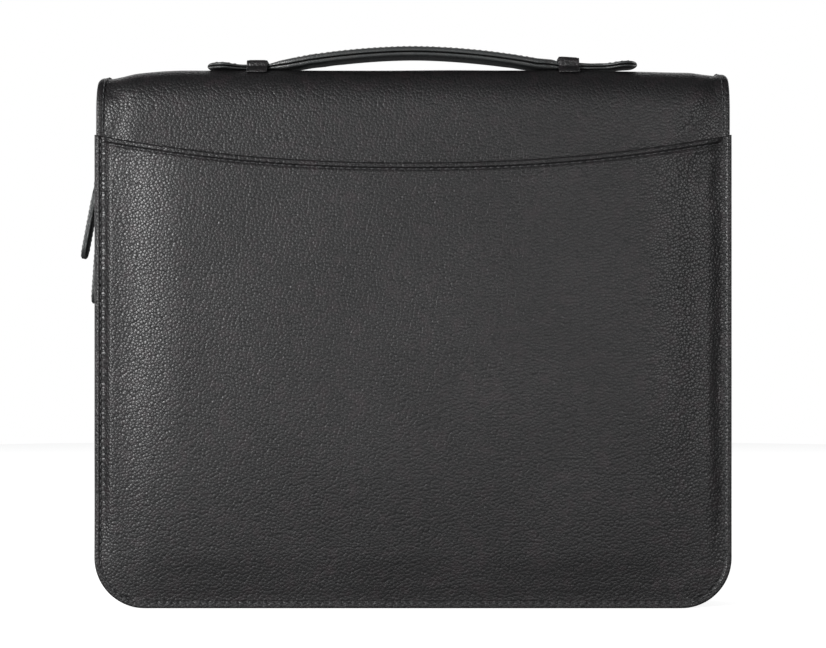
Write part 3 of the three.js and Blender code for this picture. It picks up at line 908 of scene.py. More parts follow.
@dataclass
class CoverWrap:
    """The leather wall of both covers and the spine, with its turned edge and sewn border."""

    edge_band: float = 2.9
    edge_height: float = 0.30
    valley: float = 0.30
    valley_inset: float = 6.0
    valley_width: float = 2.4
    stitch_inset: float = 3.7
    seam_depth: float = 0.22
    seam_width: float = 0.6
    seam_lift: float = 0.05
    pucker: float = 0.10
    pucker_width: float = 1.4
    swell: float = 0.35
    swell_size: float = 42.0
    foot: float = 8.0
    seen_from: float = 224.0
    creases: tuple[Crease, ...] = (
        Crease(x=153.0, z=262.0, length=14.0, width=2.6, turn=62.0, depth=0.75),
        Crease(x=147.0, z=256.0, length=12.0, width=2.2, turn=55.0, depth=0.55),
        Crease(x=140.0, z=249.0, length=11.0, width=2.2, turn=48.0, depth=0.45),
        Crease(x=-150.0, z=266.0, length=9.0, width=5.0, turn=20.0, depth=0.50),
        Crease(x=-159.0, z=258.0, length=7.0, width=2.5, turn=70.0, depth=-0.55),
        Crease(x=-157.5, z=274.0, length=7.0, width=3.0, turn=-30.0, depth=0.60),
        Crease(x=158.5, z=273.0, length=8.0, width=2.6, turn=75.0, depth=0.50),
    )

    @staticmethod
    def straight(way: float, z: np.ndarray) -> np.ndarray:
        """Give the rows of one flat cover, way being the sign of its outward Y direction."""
        return np.stack([way * FORM.half_rim + 0 * z, z, way + 0 * z, 0 * z], axis=1)

    def rows(self) -> np.ndarray:
        """List the profile from the front rim over the spine to the back rim.

        Returns:
            For each row Y and Z of the rim face, and Y and Z of the direction out of it.
        """
        hidden = np.linspace(self.foot, self.seen_from, 44)
        seen = np.arange(self.seen_from, FORM.spring, FORM.stitch_pitch / 2)[1:]
        foot = graded(self.foot, 0.12, 1.35, 1.9)[:-1]
        front = np.concatenate([foot, hidden, seen])
        back = np.concatenate([foot, np.arange(self.foot, FORM.spring, 2.6)])
        bends = np.linspace(0.0, math.pi, 40)[1:-1]
        power = 2.0 / FORM.squareness
        cos = signed_power(np.cos(bends), power)
        sin = np.sin(bends) ** power
        over = np.stack([-FORM.half_rim * cos, FORM.spring + FORM.spine_rise * sin, -cos, sin], axis=1)
        return np.concatenate([self.straight(-1.0, front), over, self.straight(1.0, back[::-1])])

    def detail(self, inset: np.ndarray, x: np.ndarray, z: np.ndarray, front: np.ndarray) -> np.ndarray:
        """Shape the border, the stitched seam and the leather's soft unevenness.

        Args:
            inset: Distance in from the outline.
            x: Places across.
            z: Places up.
            front: 1 on the front cover, 0 on the back.

        Returns:
            How far the surface stands out of the plain one.
        """
        band = self.edge_height * (1 - ramp(inset, self.edge_band - 0.5, 1.0))
        valley = -self.valley * ridge(inset, self.valley_inset, self.valley_width)
        seam = -self.seam_depth * ridge(inset, self.stitch_inset, self.seam_width)
        beat = np.cos(2 * math.pi * z / FORM.stitch_pitch)
        pucker = self.pucker * beat * ridge(inset, self.stitch_inset, self.pucker_width)
        soft = self.swell * uneven(x, z, self.swell_size, 3.0) * ramp(inset, 6.0, 20.0)
        dents = sum(crease.depth_at(x, z) for crease in self.creases) * front
        return band + valley + seam + pucker + soft - dents

    def surface(self, x: np.ndarray, row: np.ndarray) -> tuple[np.ndarray, np.ndarray]:
        """Find the outer and inner faces of the wall.

        Args:
            x: Rows by columns of places across.
            row: The profile's rows.

        Returns:
            Outer and inner points.
        """
        y0, z0, out_y, out_z = (np.broadcast_to(row[:, k, None], x.shape) for k in range(4))
        on_spine = z0 > FORM.spring
        side_inset = np.maximum(0.0, FORM.reach(z0) - np.abs(x))
        inset = np.where(on_spine, side_inset, FORM.inset(x, z0))
        padding = FORM.stand * ramp(inset, FORM.border, FORM.padding_ramp)
        padding = padding + FORM.crown * FORM.crown_at(x, np.minimum(z0, FORM.spring))
        front = ramp(-out_y, -0.3, 0.6)
        fall = edge_round(inset, FORM.wall / 2)
        outer = padding + self.detail(inset, x, z0, front) - fall
        inner = padding - FORM.wall + fall
        faces = []
        for offset in (outer, inner):
            y = y0 + offset * out_y
            z = z0 + offset * out_z
            faces.append(np.stack([x, y, z - FORM.droop(x, z)], axis=2))
        return faces[0], faces[1]

    def build(self) -> Piece:
        """Make the wall.

        Returns:
            The wall.
        """
        rows = self.rows()
        shares = mirrored(FORM.half_width, graded(20.0, 0.12, 1.3, 1.9), FORM.stitch_pitch / 2)
        x = shares[None, :] * FORM.reach(rows[:, 1])[:, None]
        outer, inner = self.surface(x, rows)
        return Piece("cover_leather", shell(outer, inner), stands_for=("cover_wrap",))

    def back_seam(self) -> Piece:
        """Sew the border of the back cover.

        Returns:
            The stitches.
        """
        path = RimPath(self.stitch_inset, FORM.spring, FORM.spring)
        runs = path.evenly(FORM.stitch_pitch, 1.0)
        spots, ways = path.places(runs)
        y = np.full(len(runs), FORM.half_rim - self.seam_lift)
        middles = upright(spots, y)
        middles[:, 2] -= FORM.droop(spots[:, 0], spots[:, 1])
        outs = np.tile([0.0, 1.0, 0.0], (len(runs), 1))
        return Piece("back_seam", Stitches().along(middles, upright(ways, 0 * y), outs), THREAD)

    def spine_seams(self, lowest: float) -> Piece:
        """Sew the two borders that run from the pocket's mouth over the spine.

        Args:
            lowest: Height on the front where the seams begin.

        Returns:
            The stitches.
        """
        rows = self.rows()
        part = rows[(rows[:, 1] > lowest) & ((rows[:, 0] < 0) | (rows[:, 1] > FORM.spring))]
        reach = FORM.reach(part[:, 1]) - self.stitch_inset
        raised = part[:, :2] + self.seam_lift * part[:, 2:]
        line = np.stack([reach, raised[:, 0], raised[:, 1]], axis=1)
        steps = run_lengths(line)
        runs = np.arange(2.0, steps[-1] - 1.0, FORM.stitch_pitch)
        middles = read_at(runs, steps, line)
        ways = read_at(runs, steps, np.gradient(line, axis=0))
        outs = read_at(runs, steps, np.stack([0 * reach, part[:, 2], part[:, 3]], axis=1))
        parts = []
        for hand in (-1.0, 1.0):
            turned = np.array([hand, 1.0, 1.0])
            spots = middles * turned
            spots[:, 2] -= FORM.droop(spots[:, 0], spots[:, 2])
            parts.append(Stitches().along(spots, ways * turned, outs))
        return Piece("spine_seams", gathered(parts), THREAD)


@dataclass
class FrontPocket:
    """The slip pocket on the front, with its hemmed mouth and sewn border."""

    wall: float = 1.8
    spread: float = 0.6
    border: float = 3.6
    step_width: float = 5.4
    soft_border: float = 3.8
    soft_width: float = 9.0
    step_share: float = 0.36
    rise_width: float = 44.0
    foot_share: float = 0.08
    foot_width: float = 120.0
    room: float = 5.0
    foot_rise: tuple[float, float] = (8.0, 60.0)
    soft_side: tuple[float, float] = (20.0, 80.0)
    foot_swell: float = 0.22
    swell_border: float = 26.0
    mouth_middle: float = 234.0
    mouth_sag: float = 15.0
    mouth_power: float = 2.2
    straight_top: float = 195.0
    edge_band: float = 2.7
    edge_height: float = 0.60
    left_tilt: float = 2.0
    right_tilt: float = 0.1
    tilt_change: tuple[float, float] = (-20.0, 40.0)
    upright_from: tuple[float, float] = (20.0, 30.0)
    valley: float = 0.35
    valley_inset: float = 4.9
    valley_width: float = 1.5
    valley_fade: float = 0.6
    stitch_inset: float = 3.3
    seam_depth: float = 0.25
    seam_width: float = 0.6
    border_lift: float = 0.12
    hem_stitch: float = 3.4
    hem_height: float = 0.9
    hem_groove: float = 0.5
    hem_fold: float = 0.25
    hem_gather: float = 0.9
    gather_start: tuple[float, float] = (40.0, 90.0)
    hem_lift: float = 0.1
    hem_end: float = 5.0
    pucker: float = 0.20
    pucker_width: float = 1.3
    swell: float = 0.35
    swell_size: float = 55.0
    creases: tuple[Crease, ...] = (
        Crease(x=155.0, z=238.0, length=13.0, width=4.2, turn=42.0, depth=0.8),
        Crease(x=158.0, z=221.0, length=16.0, width=3.6, turn=78.0, depth=0.45),
        Crease(x=148.0, z=229.0, length=11.0, width=3.6, turn=35.0, depth=0.3),
        Crease(x=160.0, z=120.0, length=26.0, width=3.5, turn=88.0, depth=0.4),
        Crease(x=-158.0, z=230.0, length=16.0, width=3.0, turn=96.0, depth=0.4),
    )

    def mouth(self, x: np.ndarray) -> np.ndarray:
        """Give the height of the mouth across the width."""
        share = np.minimum(1.0, np.abs(x) / FORM.half_width)
        return self.mouth_middle + self.mouth_sag * share**self.mouth_power

    def stand_off(self, x: np.ndarray, z: np.ndarray) -> np.ndarray:
        """Say how far the inner face is from the rim of the cover.

        Args:
            x: Places across.
            z: Places up.

        Returns:
            The distance at each place.
        """
        inset = FORM.inset(x, z)
        low = 1 - ramp(z, *self.foot_rise)
        step_share = self.step_share + (self.foot_share - self.step_share) * low
        soft = np.maximum(low, ramp(x, *self.soft_side))
        tucked = ramp(inset, self.border, self.step_width)
        easy = ramp(inset, self.soft_border, self.soft_width)
        step = step_share * (tucked + (easy - tucked) * soft)
        sides = ramp(FORM.half_width - np.abs(x), self.border, self.rise_width)
        foot = ramp(z, 0.0, self.foot_width)
        filled = self.foot_swell + (1 - self.foot_swell) * foot
        swelling = (1 - step_share) * sides * filled * ramp(inset, self.border, self.swell_border)
        raised = (FORM.stand + self.room) * (step + swelling)
        return FORM.clearance + raised + FORM.crown * FORM.crown_at(x, z)

    def detail(self, x: np.ndarray, z: np.ndarray) -> np.ndarray:
        """Shape the border, the hem, the seams and the soft unevenness.

        Args:
            x: Places across.
            z: Places up.

        Returns:
            How far the outer face stands out of the plain one.
        """
        inset = FORM.inset(x, z, self.spread)
        below = self.mouth(x) - z
        upright = ramp(z, *self.upright_from)
        steep = self.left_tilt + (self.right_tilt - self.left_tilt) * ramp(x, *self.tilt_change)
        tilt = 1 + upright * steep * (np.minimum(inset, self.edge_band) / self.edge_band - 0.5)
        band = self.edge_height * tilt * (1 - ramp(inset, self.edge_band - 0.2, 0.7))
        sides = upright * (1 - self.valley_fade * ramp(x, *self.soft_side))
        valley = -self.valley * ridge(inset, self.valley_inset, self.valley_width) * sides
        seam = -self.seam_depth * ridge(inset, self.stitch_inset, self.seam_width)
        run = np.where(inset < z - 0.01, z, x)
        beat = np.cos(2 * math.pi * run / FORM.stitch_pitch)
        pucker = self.pucker * beat * ridge(inset, self.stitch_inset, self.pucker_width)
        lip = (0.72 + 0.12 * below) * (1 - ramp(below, self.hem_stitch - 1.0, 0.8))
        hem = self.hem_height * lip - self.hem_groove * ridge(below, self.hem_stitch, self.seam_width)
        hem = hem + self.hem_fold * ridge(below, self.hem_stitch + 2.2, 1.4)
        gather = 1.0 + self.hem_gather * ramp(-x, *self.gather_start)
        hem_beat = np.cos(2 * math.pi * x / FORM.stitch_pitch) * ridge(below, self.hem_stitch - 0.7, 1.1)
        hem = (hem + self.pucker * gather * hem_beat) * ramp(inset, 4.0, 3.5)
        soft = self.swell * uneven(x, z, self.swell_size, 9.0) * ramp(inset, 6.0, 24.0)
        dents = sum(crease.depth_at(x, z) for crease in self.creases)
        return band + valley + seam + pucker + hem + soft - dents

    def face(self, x: np.ndarray, z: np.ndarray) -> np.ndarray:
        """Give Y of the outer face."""
        return -(FORM.half_rim + self.stand_off(x, z) + self.wall + self.detail(x, z))

    def build(self) -> Piece:
        """Make the panel.

        Returns:
            The panel.
        """
        foot = bordered(20.0, FORM.stitch_pitch / 2)
        low = np.concatenate([foot[:-1], np.arange(foot[-1], self.straight_top, FORM.stitch_pitch / 2)])
        span = self.mouth_middle - low[-1]
        high = 1.0 - bordered(span, 1.95, 5.6, 0.42)[::-1][1:] / span
        half = FORM.half_width + self.spread
        shares = mirrored(half, bordered(20.0, 1.9), FORM.stitch_pitch / 3)
        x = shares[None, :] * FORM.reach(low, self.spread)[:, None]
        x = np.concatenate([x, np.tile(shares * half, (len(high), 1))])
        mouth = self.mouth(x)
        z = np.broadcast_to(low[:, None], (len(low), len(shares)))
        z = np.concatenate([z, low[-1] + (mouth[len(low):] - low[-1]) * high[:, None]])
        inset = np.minimum(FORM.inset(x, z, self.spread), mouth - z)
        fall = edge_round(inset, self.wall / 2)
        middle = -(FORM.half_rim + self.stand_off(x, z))
        outer = np.stack([x, self.face(x, z) + fall, z], axis=2)
        inner = np.stack([x, middle - fall, z], axis=2)
        form = shell(outer, inner)
        return Piece("pocket_leather", form, stands_for=("front_pocket",))

    def mouth_seam(self) -> Piece:
        """Sew the hem of the mouth.

        Returns:
            The stitches.
        """
        edge = FORM.half_width - self.hem_end
        x = np.arange(-edge, edge, FORM.stitch_pitch) + 0.5 * FORM.stitch_pitch
        x = FORM.stitch_pitch * (np.round(x / FORM.stitch_pitch) + 0.5)
        z = self.mouth(x) - self.hem_stitch
        ahead = x + 1.0
        ahead_z = self.mouth(ahead) - self.hem_stitch
        middles = np.stack([x, self.face(x, z) + self.hem_lift, z], axis=1)
        ways = np.stack([ahead, self.face(ahead, ahead_z) + self.hem_lift, ahead_z], axis=1) - middles
        outs = np.tile([0.0, -1.0, 0.0], (len(x), 1))
        return Piece("mouth_seam", Stitches().along(middles, ways, outs), THREAD)

    def border_seam(self) -> Piece:
        """Sew the sides and the bottom of the panel to the cover.

        Returns:
            The stitches.
        """
        top = self.mouth_middle + self.mouth_sag - 2.0
        path = RimPath(self.stitch_inset - self.spread, top, top)
        runs = path.evenly(FORM.stitch_pitch, 1.5)
        spots, ways = path.places(runs)
        y = self.face(spots[:, 0], spots[:, 1]) + self.border_lift
        outs = np.tile([0.0, -1.0, 0.0], (len(runs), 1))
        form = Stitches().along(upright(spots, y), upright(ways, 0 * y), outs)
        return Piece("pocket_seam", form, THREAD)


@dataclass
class Gussets:
    """The leather side bands between the covers and the zip, and the panels that close the spine's ends."""

    wall: float = 1.8
    flange: float = 8.0
    slot: float = 14.0
    bulge: float = 0.35
    bulge_steps: int = 5
    lip_radius: float = 0.9
    seam_edge: float = 2.3
    end_rows: int = 40
    end_pucker: float = 0.5

    def section(self, side: Side) -> np.ndarray:
        """Draw the band's section, with a rounded edge at the zip.

        Args:
            side: Which cover it is sewn to.

        Returns:
            Points, each how far in from the band's outer face, and Y.
        """
        seam = FORM.half_rim - FORM.wall - FORM.clearance
        lip = self.slot / 2
        radius = self.lip_radius
        points = [(0.5, seam), (0.1, seam - 0.3), (0.0, seam - radius)]
        for share in np.arange(1, self.bulge_steps + 1) / self.bulge_steps:
            out = self.bulge * math.sin(math.pi * share)
            points.append((-out, seam - radius - (seam - lip - 2.2) * share))
        for turn in np.linspace(0, math.pi, 7):
            points.append((radius - radius * math.cos(turn), lip + radius - radius * math.sin(turn)))
        points += [(self.wall, seam - self.wall - 0.1), (self.flange, seam - self.wall), (self.flange, seam)]
        return np.array(points) * [1.0, side.value]

    def band(self, side: Side, node: str) -> Piece:
        """Make one band.

        Args:
            side: Which cover it is sewn to.
            node: The node that it stands for.

        Returns:
            The band.
        """
        path = RimPath(FORM.gusset_inset, FORM.gusset_top, FORM.gusset_top)
        runs = path.evenly(2.4)
        rings = path.sweep(self.section(side), runs)
        if side is Side.FRONT:
            rings = rings[:, ::-1]
        return Piece(f"{node}_leather", tube(rings), stands_for=(node,))

    def seam(self, side: Side) -> Piece:
        """Sew a band's edge to the zip tape.

        Args:
            side: Which cover the band is sewn to.

        Returns:
            The stitches.
        """
        path = RimPath(FORM.gusset_inset, FORM.gusset_top - 3.0, FORM.gusset_top - 3.0)
        runs = path.evenly(3.2)
        spots, ways = path.places(runs)
        y = np.full(len(runs), side.value * (self.slot / 2 + self.seam_edge))
        outs = upright(ways[:, ::-1] * [1.0, -1.0], 0 * y)
        thread = Stitches(length=2.4, radius=0.28, sink=0.16)
        form = thread.along(upright(spots, y), upright(ways, 0 * y), outs)
        return Piece(f"gusset_seam_{side.name.lower()}", form, THREAD)

    def end_panel(self, hand: int, node: str) -> Piece:
        """Make the panel that closes one end of the spine.

        Args:
            hand: -1 on the left and 1 on the right.
            node: The node that it stands for.

        Returns:
            The panel.
        """
        seam = FORM.half_rim - FORM.wall - FORM.clearance
        power = 2.0 / FORM.squareness
        bends = np.linspace(0.0, math.pi / 2, self.end_rows)
        low = FORM.gusset_top + FORM.clearance
        rise = FORM.spine_rise - FORM.wall - FORM.clearance
        over = FORM.spring + rise * np.sin(bends[1:-1]) ** power
        edge_y = np.concatenate([np.full(8, seam), seam * np.cos(bends[1:-1]) ** power])
        edge_z = np.concatenate([np.linspace(low, FORM.spring, 8), over])
        across = np.linspace(-1.0, 1.0, 31)
        y = edge_y[:, None] * across[None, :]
        z = np.broadcast_to(edge_z[:, None], y.shape)
        upward = np.sin(math.pi * (z - low) / (edge_z[-1] - low))
        pucker = self.end_pucker * np.cos(math.pi * across[None, :] / 2) ** 2 * upward
        rim = np.minimum(np.minimum(edge_y[:, None] - np.abs(y), z - low), edge_z[-1] - z)
        fall = edge_round(np.maximum(rim, 0.0), self.wall / 2)
        outer_x = FORM.half_width - FORM.gusset_inset - pucker - fall
        inner_x = FORM.half_width - FORM.gusset_inset - self.wall - pucker + fall
        dropped = z - FORM.droop(np.full(z.shape, hand * (FORM.half_width - 3.0)), z)
        outer = np.stack([hand * outer_x, y, dropped], axis=2)
        inner = np.stack([hand * inner_x, y, dropped], axis=2)
        if hand < 0:
            outer, inner = outer[:, ::-1], inner[:, ::-1]
        form = shell(outer, inner)
        return Piece(f"{node}_leather", form, stands_for=(node,))


@dataclass
class Zip:
    """The tapes and the teeth of the zip that runs down the left side, along the bottom and up the right."""

    tape_inset: float = 4.6
    tape_wall: float = 0.8
    tape_edge: float = 3.8
    tape_reach: float = 14.0
    tape_tail: float = 6.0
    rib: float = 0.06
    rib_pitch: float = 0.9
    chain_inset: float = 5.0
    half_chain: float = 3.5
    tooth_pitch: float = 2.6
    tooth_long: float = 1.0
    tooth_thick: float = 2.7
    tooth_lap: float = 0.9
    tooth_squareness: float = 0.45
    chain_top: float = 249.7
    lower_top: float = 217.6
    upper_bottom: float = 228.3

    def tape(self, side: Side, node: str) -> Piece:
        """Weave one tape with its cross ribs.

        Args:
            side: Which cover it belongs to.
            node: The node that it stands for.

        Returns:
            The tape.
        """
        top = FORM.gusset_top + self.tape_tail
        path = RimPath(self.tape_inset, top, top)
        runs = path.evenly(self.rib_pitch / 2)
        lift = self.rib * np.where(np.arange(len(runs)) % 2 == 0, 1.0, -1.0)
        edge = self.tape_wall
        outline = [(0.12, self.tape_edge), (0.0, self.tape_edge + 0.4), (0.05, self.tape_edge + 1.2)]
        outline += [(0.0, self.tape_edge + 2.2), (0.05, self.tape_edge + 3.2), (0.0, self.tape_reach)]
        outline += [(edge, self.tape_reach), (edge, self.tape_edge + 0.3), (edge - 0.2, self.tape_edge)]
        section = np.array(outline) * [1.0, side.value]
        rings = path.sweep(section, runs, lift)
        if side is Side.BACK:
            rings = rings[:, ::-1]
        return Piece(f"{node}_cloth", tube(rings), TAPE, Slot.TAPE, stands_for=(node,))

    def tooth(self, hand: int) -> Form:
        """Shape one tooth lying along Y, with its head past the middle.

        Args:
            hand: Which side its foot is on.

        Returns:
            Points as out, Y and along, and faces.
        """
        foot = [self.half_chain, self.half_chain - 0.25, 1.6]
        head = [0.6, -0.3, -self.tooth_lap + 0.2, -self.tooth_lap]
        wide = np.array([0.7, 1.0, 1.0, 0.72, 0.95, 0.95, 0.6]) * self.tooth_long / 2
        thick = np.array([0.75, 1.0, 1.0, 0.9, 0.9, 0.85, 0.5]) * self.tooth_thick / 2
        turns = np.linspace(0, 2 * math.pi, 8, endpoint=False) + math.pi / 8
        out = signed_power(np.cos(turns), self.tooth_squareness)
        along = signed_power(np.sin(turns), self.tooth_squareness)
        rings = []
        for y, w, t in zip(foot + head, wide, thick):
            ring = np.stack([t * out, np.full(8, hand * y), w * along], axis=1)
            rings.append(ring if hand < 0 else ring[::-1])
        return tube(np.array(rings))

    def teeth(self, path: RimPath, length: float) -> Form:
        """Set teeth from both tapes along the beginning of a path.

        Args:
            path: The chain's way.
            length: How far along it the teeth reach.

        Returns:
            Points and faces of all the teeth.
        """
        parts = []
        count = int((length - self.tooth_long) / (self.tooth_pitch / 2))
        runs = self.tooth_long / 2 + np.arange(count + 1) * self.tooth_pitch / 2
        spots, ways = path.places(runs)
        shapes = {hand: self.tooth(hand) for hand in (-1, 1)}
        for k, (spot, way) in enumerate(zip(spots, ways)):
            points, faces = shapes[1 if k % 2 else -1]
            out = np.array([way[1], 0.0, -way[0]])
            along = np.array([way[0], 0.0, way[1]])
            base = np.array([spot[0], 0.0, spot[1]])
            placed = base + np.outer(points[:, 0], out) + np.outer(points[:, 2], along)
            placed[:, 1] = points[:, 1]
            parts.append((placed, faces))
        return gathered(parts)

    def chains(self) -> list[Piece]:
        """Make the closed teeth below and above the pair of sliders.

        Returns:
            The lower and the upper row of teeth.
        """
        lower = RimPath(self.chain_inset, self.lower_top, self.chain_top)
        upper = RimPath(self.chain_inset, self.chain_top, self.chain_top)
        stretches = {
            "lower": self.teeth(lower, sum(lower.lengths)),
            "upper": self.teeth(upper, self.chain_top - self.upper_bottom),
        }
        return [
            Piece(f"teeth_{level}", form, METAL, Slot.METAL, stands_for=(f"zip_chain_{level}",))
            for level, form in stretches.items()
        ]


@dataclass(frozen=True)
class Pull:
    """One pull: a wire link on the slider's bridge and a sewn leather tab, in millimetres and degrees."""

    level: str
    body: Body
    pivot: tuple[float, float, float]
    lean: float
    wire: float = 0.8
    link_half: float = 5.0
    link_long: float = 9.0
    link_corner: float = 1.3
    tab_width: float = 13.0
    tab_thick: float = 3.4
    tab_drop: float = 50.0
    neck: float = 3.9
    fold: float = 2.1
    edge_squareness: float = 0.42
    face_squareness: float = 0.62
    seam_inset: float = 1.7
    seam_depth: float = 0.40
    seam_pitch: float = 2.7

    def placed(self, points: np.ndarray) -> np.ndarray:
        """Turn points that hang straight down from the pivot to where the pull hangs.

        Args:
            points: Their places from the pivot.

        Returns:
            Their places in the case.
        """
        lean = math.radians(self.lean)
        x = points[..., 0] * math.cos(lean) + points[..., 2] * math.sin(lean)
        z = points[..., 2] * math.cos(lean) - points[..., 0] * math.sin(lean)
        return np.stack([x, points[..., 1], z], axis=-1) + np.array(self.pivot)

    def link(self) -> Piece:
        """Bend the wire link.

        Returns:
            The link.
        """
        corner = self.link_corner
        centres = [
            (self.link_half - corner, -corner, 0.0),
            (-self.link_half + corner, -corner, 90.0),
            (-self.link_half + corner, -self.link_long + corner, 180.0),
            (self.link_half - corner, -self.link_long + corner, 270.0),
        ]
        line = []
        for y, z, start in centres:
            for turn in np.radians(np.linspace(start, start + 90.0, 6)):
                line.append((y + corner * math.cos(turn), z + corner * math.sin(turn)))
        line = np.array(line)
        ahead = unit(np.roll(line, -1, axis=0) - np.roll(line, 1, axis=0))
        cos, sin = circle(12)
        x = self.wire * cos
        side = self.wire * sin
        rings = []
        for (y, z), (ay, az) in zip(line, ahead):
            rings.append(np.stack([x, y + side * az, z - side * ay], axis=1))
        form = tube(np.array(rings), closed=True)
        form = (self.placed(form[0]), form[1])
        return Piece(f"link_{self.level}", form, METAL, Slot.METAL, self.body, (f"ring_{self.level}",))

    def tab_sections(self) -> tuple[np.ndarray, np.ndarray, np.ndarray]:
        """Measure the tab down its length.

        Returns:
            Heights below the pivot, half widths and half thicknesses.
        """
        half = self.tab_width / 2
        top = -self.link_long + self.fold
        shoulder = -self.link_long - self.fold
        tip = np.linspace(0.0, math.pi / 2, 12)
        z = np.concatenate([
            -self.link_long + self.fold * np.cos(np.linspace(0.15, math.pi / 2, 8)),
            np.linspace(-self.link_long, shoulder - self.neck, 9)[1:],
            np.linspace(shoulder - self.neck, -self.tab_drop + half, 16)[1:],
            -self.tab_drop + half - half * np.sin(tip[1:]),
        ])
        width = self.neck + (half - self.neck) * ramp(-z, -shoulder - 0.4, self.neck + 0.4)
        round_tip = np.clip((-z - self.tab_drop + half) / half, 0.0, 0.995)
        width = width * np.sqrt(1 - round_tip**2)
        fold = np.sqrt(np.clip(self.fold**2 - (z + self.link_long) ** 2, 0.02, None))
        thick = np.where(z > -self.link_long, fold, np.maximum(fold, self.tab_thick / 2))
        thick = thick * (1 - 0.35 * ramp(round_tip, 0.8, 0.2))
        return z[z <= top], width[z <= top], thick[z <= top]

    def tab(self) -> Piece:
        """Make the tab from two leathers with a seam round its edge.

        Returns:
            The tab.
        """
        z, width, thick = self.tab_sections()
        cos, sin = circle(40)
        y = signed_power(cos, self.edge_squareness)
        x = signed_power(sin, self.face_squareness)
        groove = 1.0 - 0.035 * ridge(sin, 0.0, 0.16) * (np.abs(cos) > 0.5)
        press = 1.0 - 0.10 * ridge(np.abs(y), 0.72, 0.10)
        out = np.outer(thick, x * press)
        aside = np.outer(width, y * groove)
        rings = np.stack([out, aside, np.broadcast_to(z[:, None], out.shape)], axis=2)[:, ::-1]
        points, faces = tube(rings)
        form = (self.placed(points), faces)
        node = f"tab_{self.level}"
        return Piece(f"{node}_leather", form, SMOOTH_LEATHER, Slot.STRAP, self.body, (node,))

    def tab_seam(self) -> Piece:
        """Sew both faces of the tab, a little in from its edge.

        Returns:
            The stitches.
        """
        z, width, thick = self.tab_sections()
        start = -self.link_long - self.fold - self.neck
        reach = width - self.seam_inset
        keep = (z < start) & (reach > 0.2)
        tip = self.seam_inset * ramp(-z[keep], self.tab_drop - 4.0, 4.0)
        down = np.stack([reach[keep], z[keep] + tip], axis=1)
        line = np.concatenate([down, down[::-1] * [-1.0, 1.0]])
        steps = run_lengths(line)
        runs = np.arange(1.0, steps[-1] - 0.5, self.seam_pitch)
        y, height = read_at(runs, steps, line).T
        way_y, way_z = read_at(runs, steps, np.gradient(line, axis=0)).T
        parts = []
        for face in (-1.0, 1.0):
            x = face * (np.interp(-height, -z, thick) - self.seam_depth)
            middles = np.stack([x, y, height], axis=1)
            ways = np.stack([0 * x, way_y, way_z], axis=1)
            outs = np.tile([face, 0.0, 0.0], (len(x), 1))
            points, faces = Stitches(length=2.0, radius=0.24, sink=0.1).along(middles, ways, outs)
            parts.append((self.placed(points), faces))
        return Piece(f"tab_{self.level}_seam", gathered(parts), THREAD, Slot.STRAP, self.body)


@dataclass
class Sliders:
    """The two sliders with rounded edges, and where their pulls hang, in millimetres and degrees."""

    edge: float = 0.28
    pivot_depth: float = 5.0
    upper_pivot: float = 233.5
    lower_pivot: float = 210.3
    upper_lean: float = 10.75
    lower_lean: float = 4.0
    nodes: tuple[str, ...] = ("slider_upper", "slider_lower")

    def pulls(self, chain_inset: float) -> tuple[Pull, Pull]:
        """Hang the upper and the lower pull.

        Args:
            chain_inset: How far the chain runs in from the side.

        Returns:
            Both pulls.
        """
        x = chain_inset - self.pivot_depth - FORM.half_width
        return (
            Pull("upper", Body.UPPER_PULL, (x, 0.0, self.upper_pivot), self.upper_lean),
            Pull("lower", Body.LOWER_PULL, (x, 0.0, self.lower_pivot), self.lower_lean),
        )

    def build(self, node: str) -> bpy.types.Object:
        """Round the edges of one slider.

        Args:
            node: The node that it is made from and stands for.

        Returns:
            The finished slider.
        """
        thing = bpy.data.objects.new(f"{node}_metal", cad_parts[node].data.copy())
        bpy.context.scene.collection.objects.link(thing)
        weld = thing.modifiers.new("weld", "WELD")
        weld.merge_threshold = 0.00002
        planar = thing.modifiers.new("planar", "DECIMATE")
        planar.decimate_type = "DISSOLVE"
        planar.angle_limit = math.radians(4.0)
        bevel = thing.modifiers.new("edge", "BEVEL")
        bevel.width = self.edge * MM
        bevel.segments = 3
        bevel.limit_method = "ANGLE"
        bevel.angle_limit = math.radians(28.0)
        bevel.harden_normals = True
        graph = bpy.context.evaluated_depsgraph_get()
        solid = bpy.data.meshes.new_from_object(thing.evaluated_get(graph))
        thing.modifiers.clear()
        thing.data = solid
        solid.materials.clear()
        solid.materials.append(Wardrobe.material(METAL))
        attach(thing, Body.CASE.value)
        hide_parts(node)
        LOG.info("%s: %d faces", thing.name, len(solid.polygons))
        return thing


@dataclass(frozen=True)
class StrapSection:
    """Width and thickness of the strap as shares of the grip's, at a share of the strap's half length."""

    at: float
    width: float
    thick: float


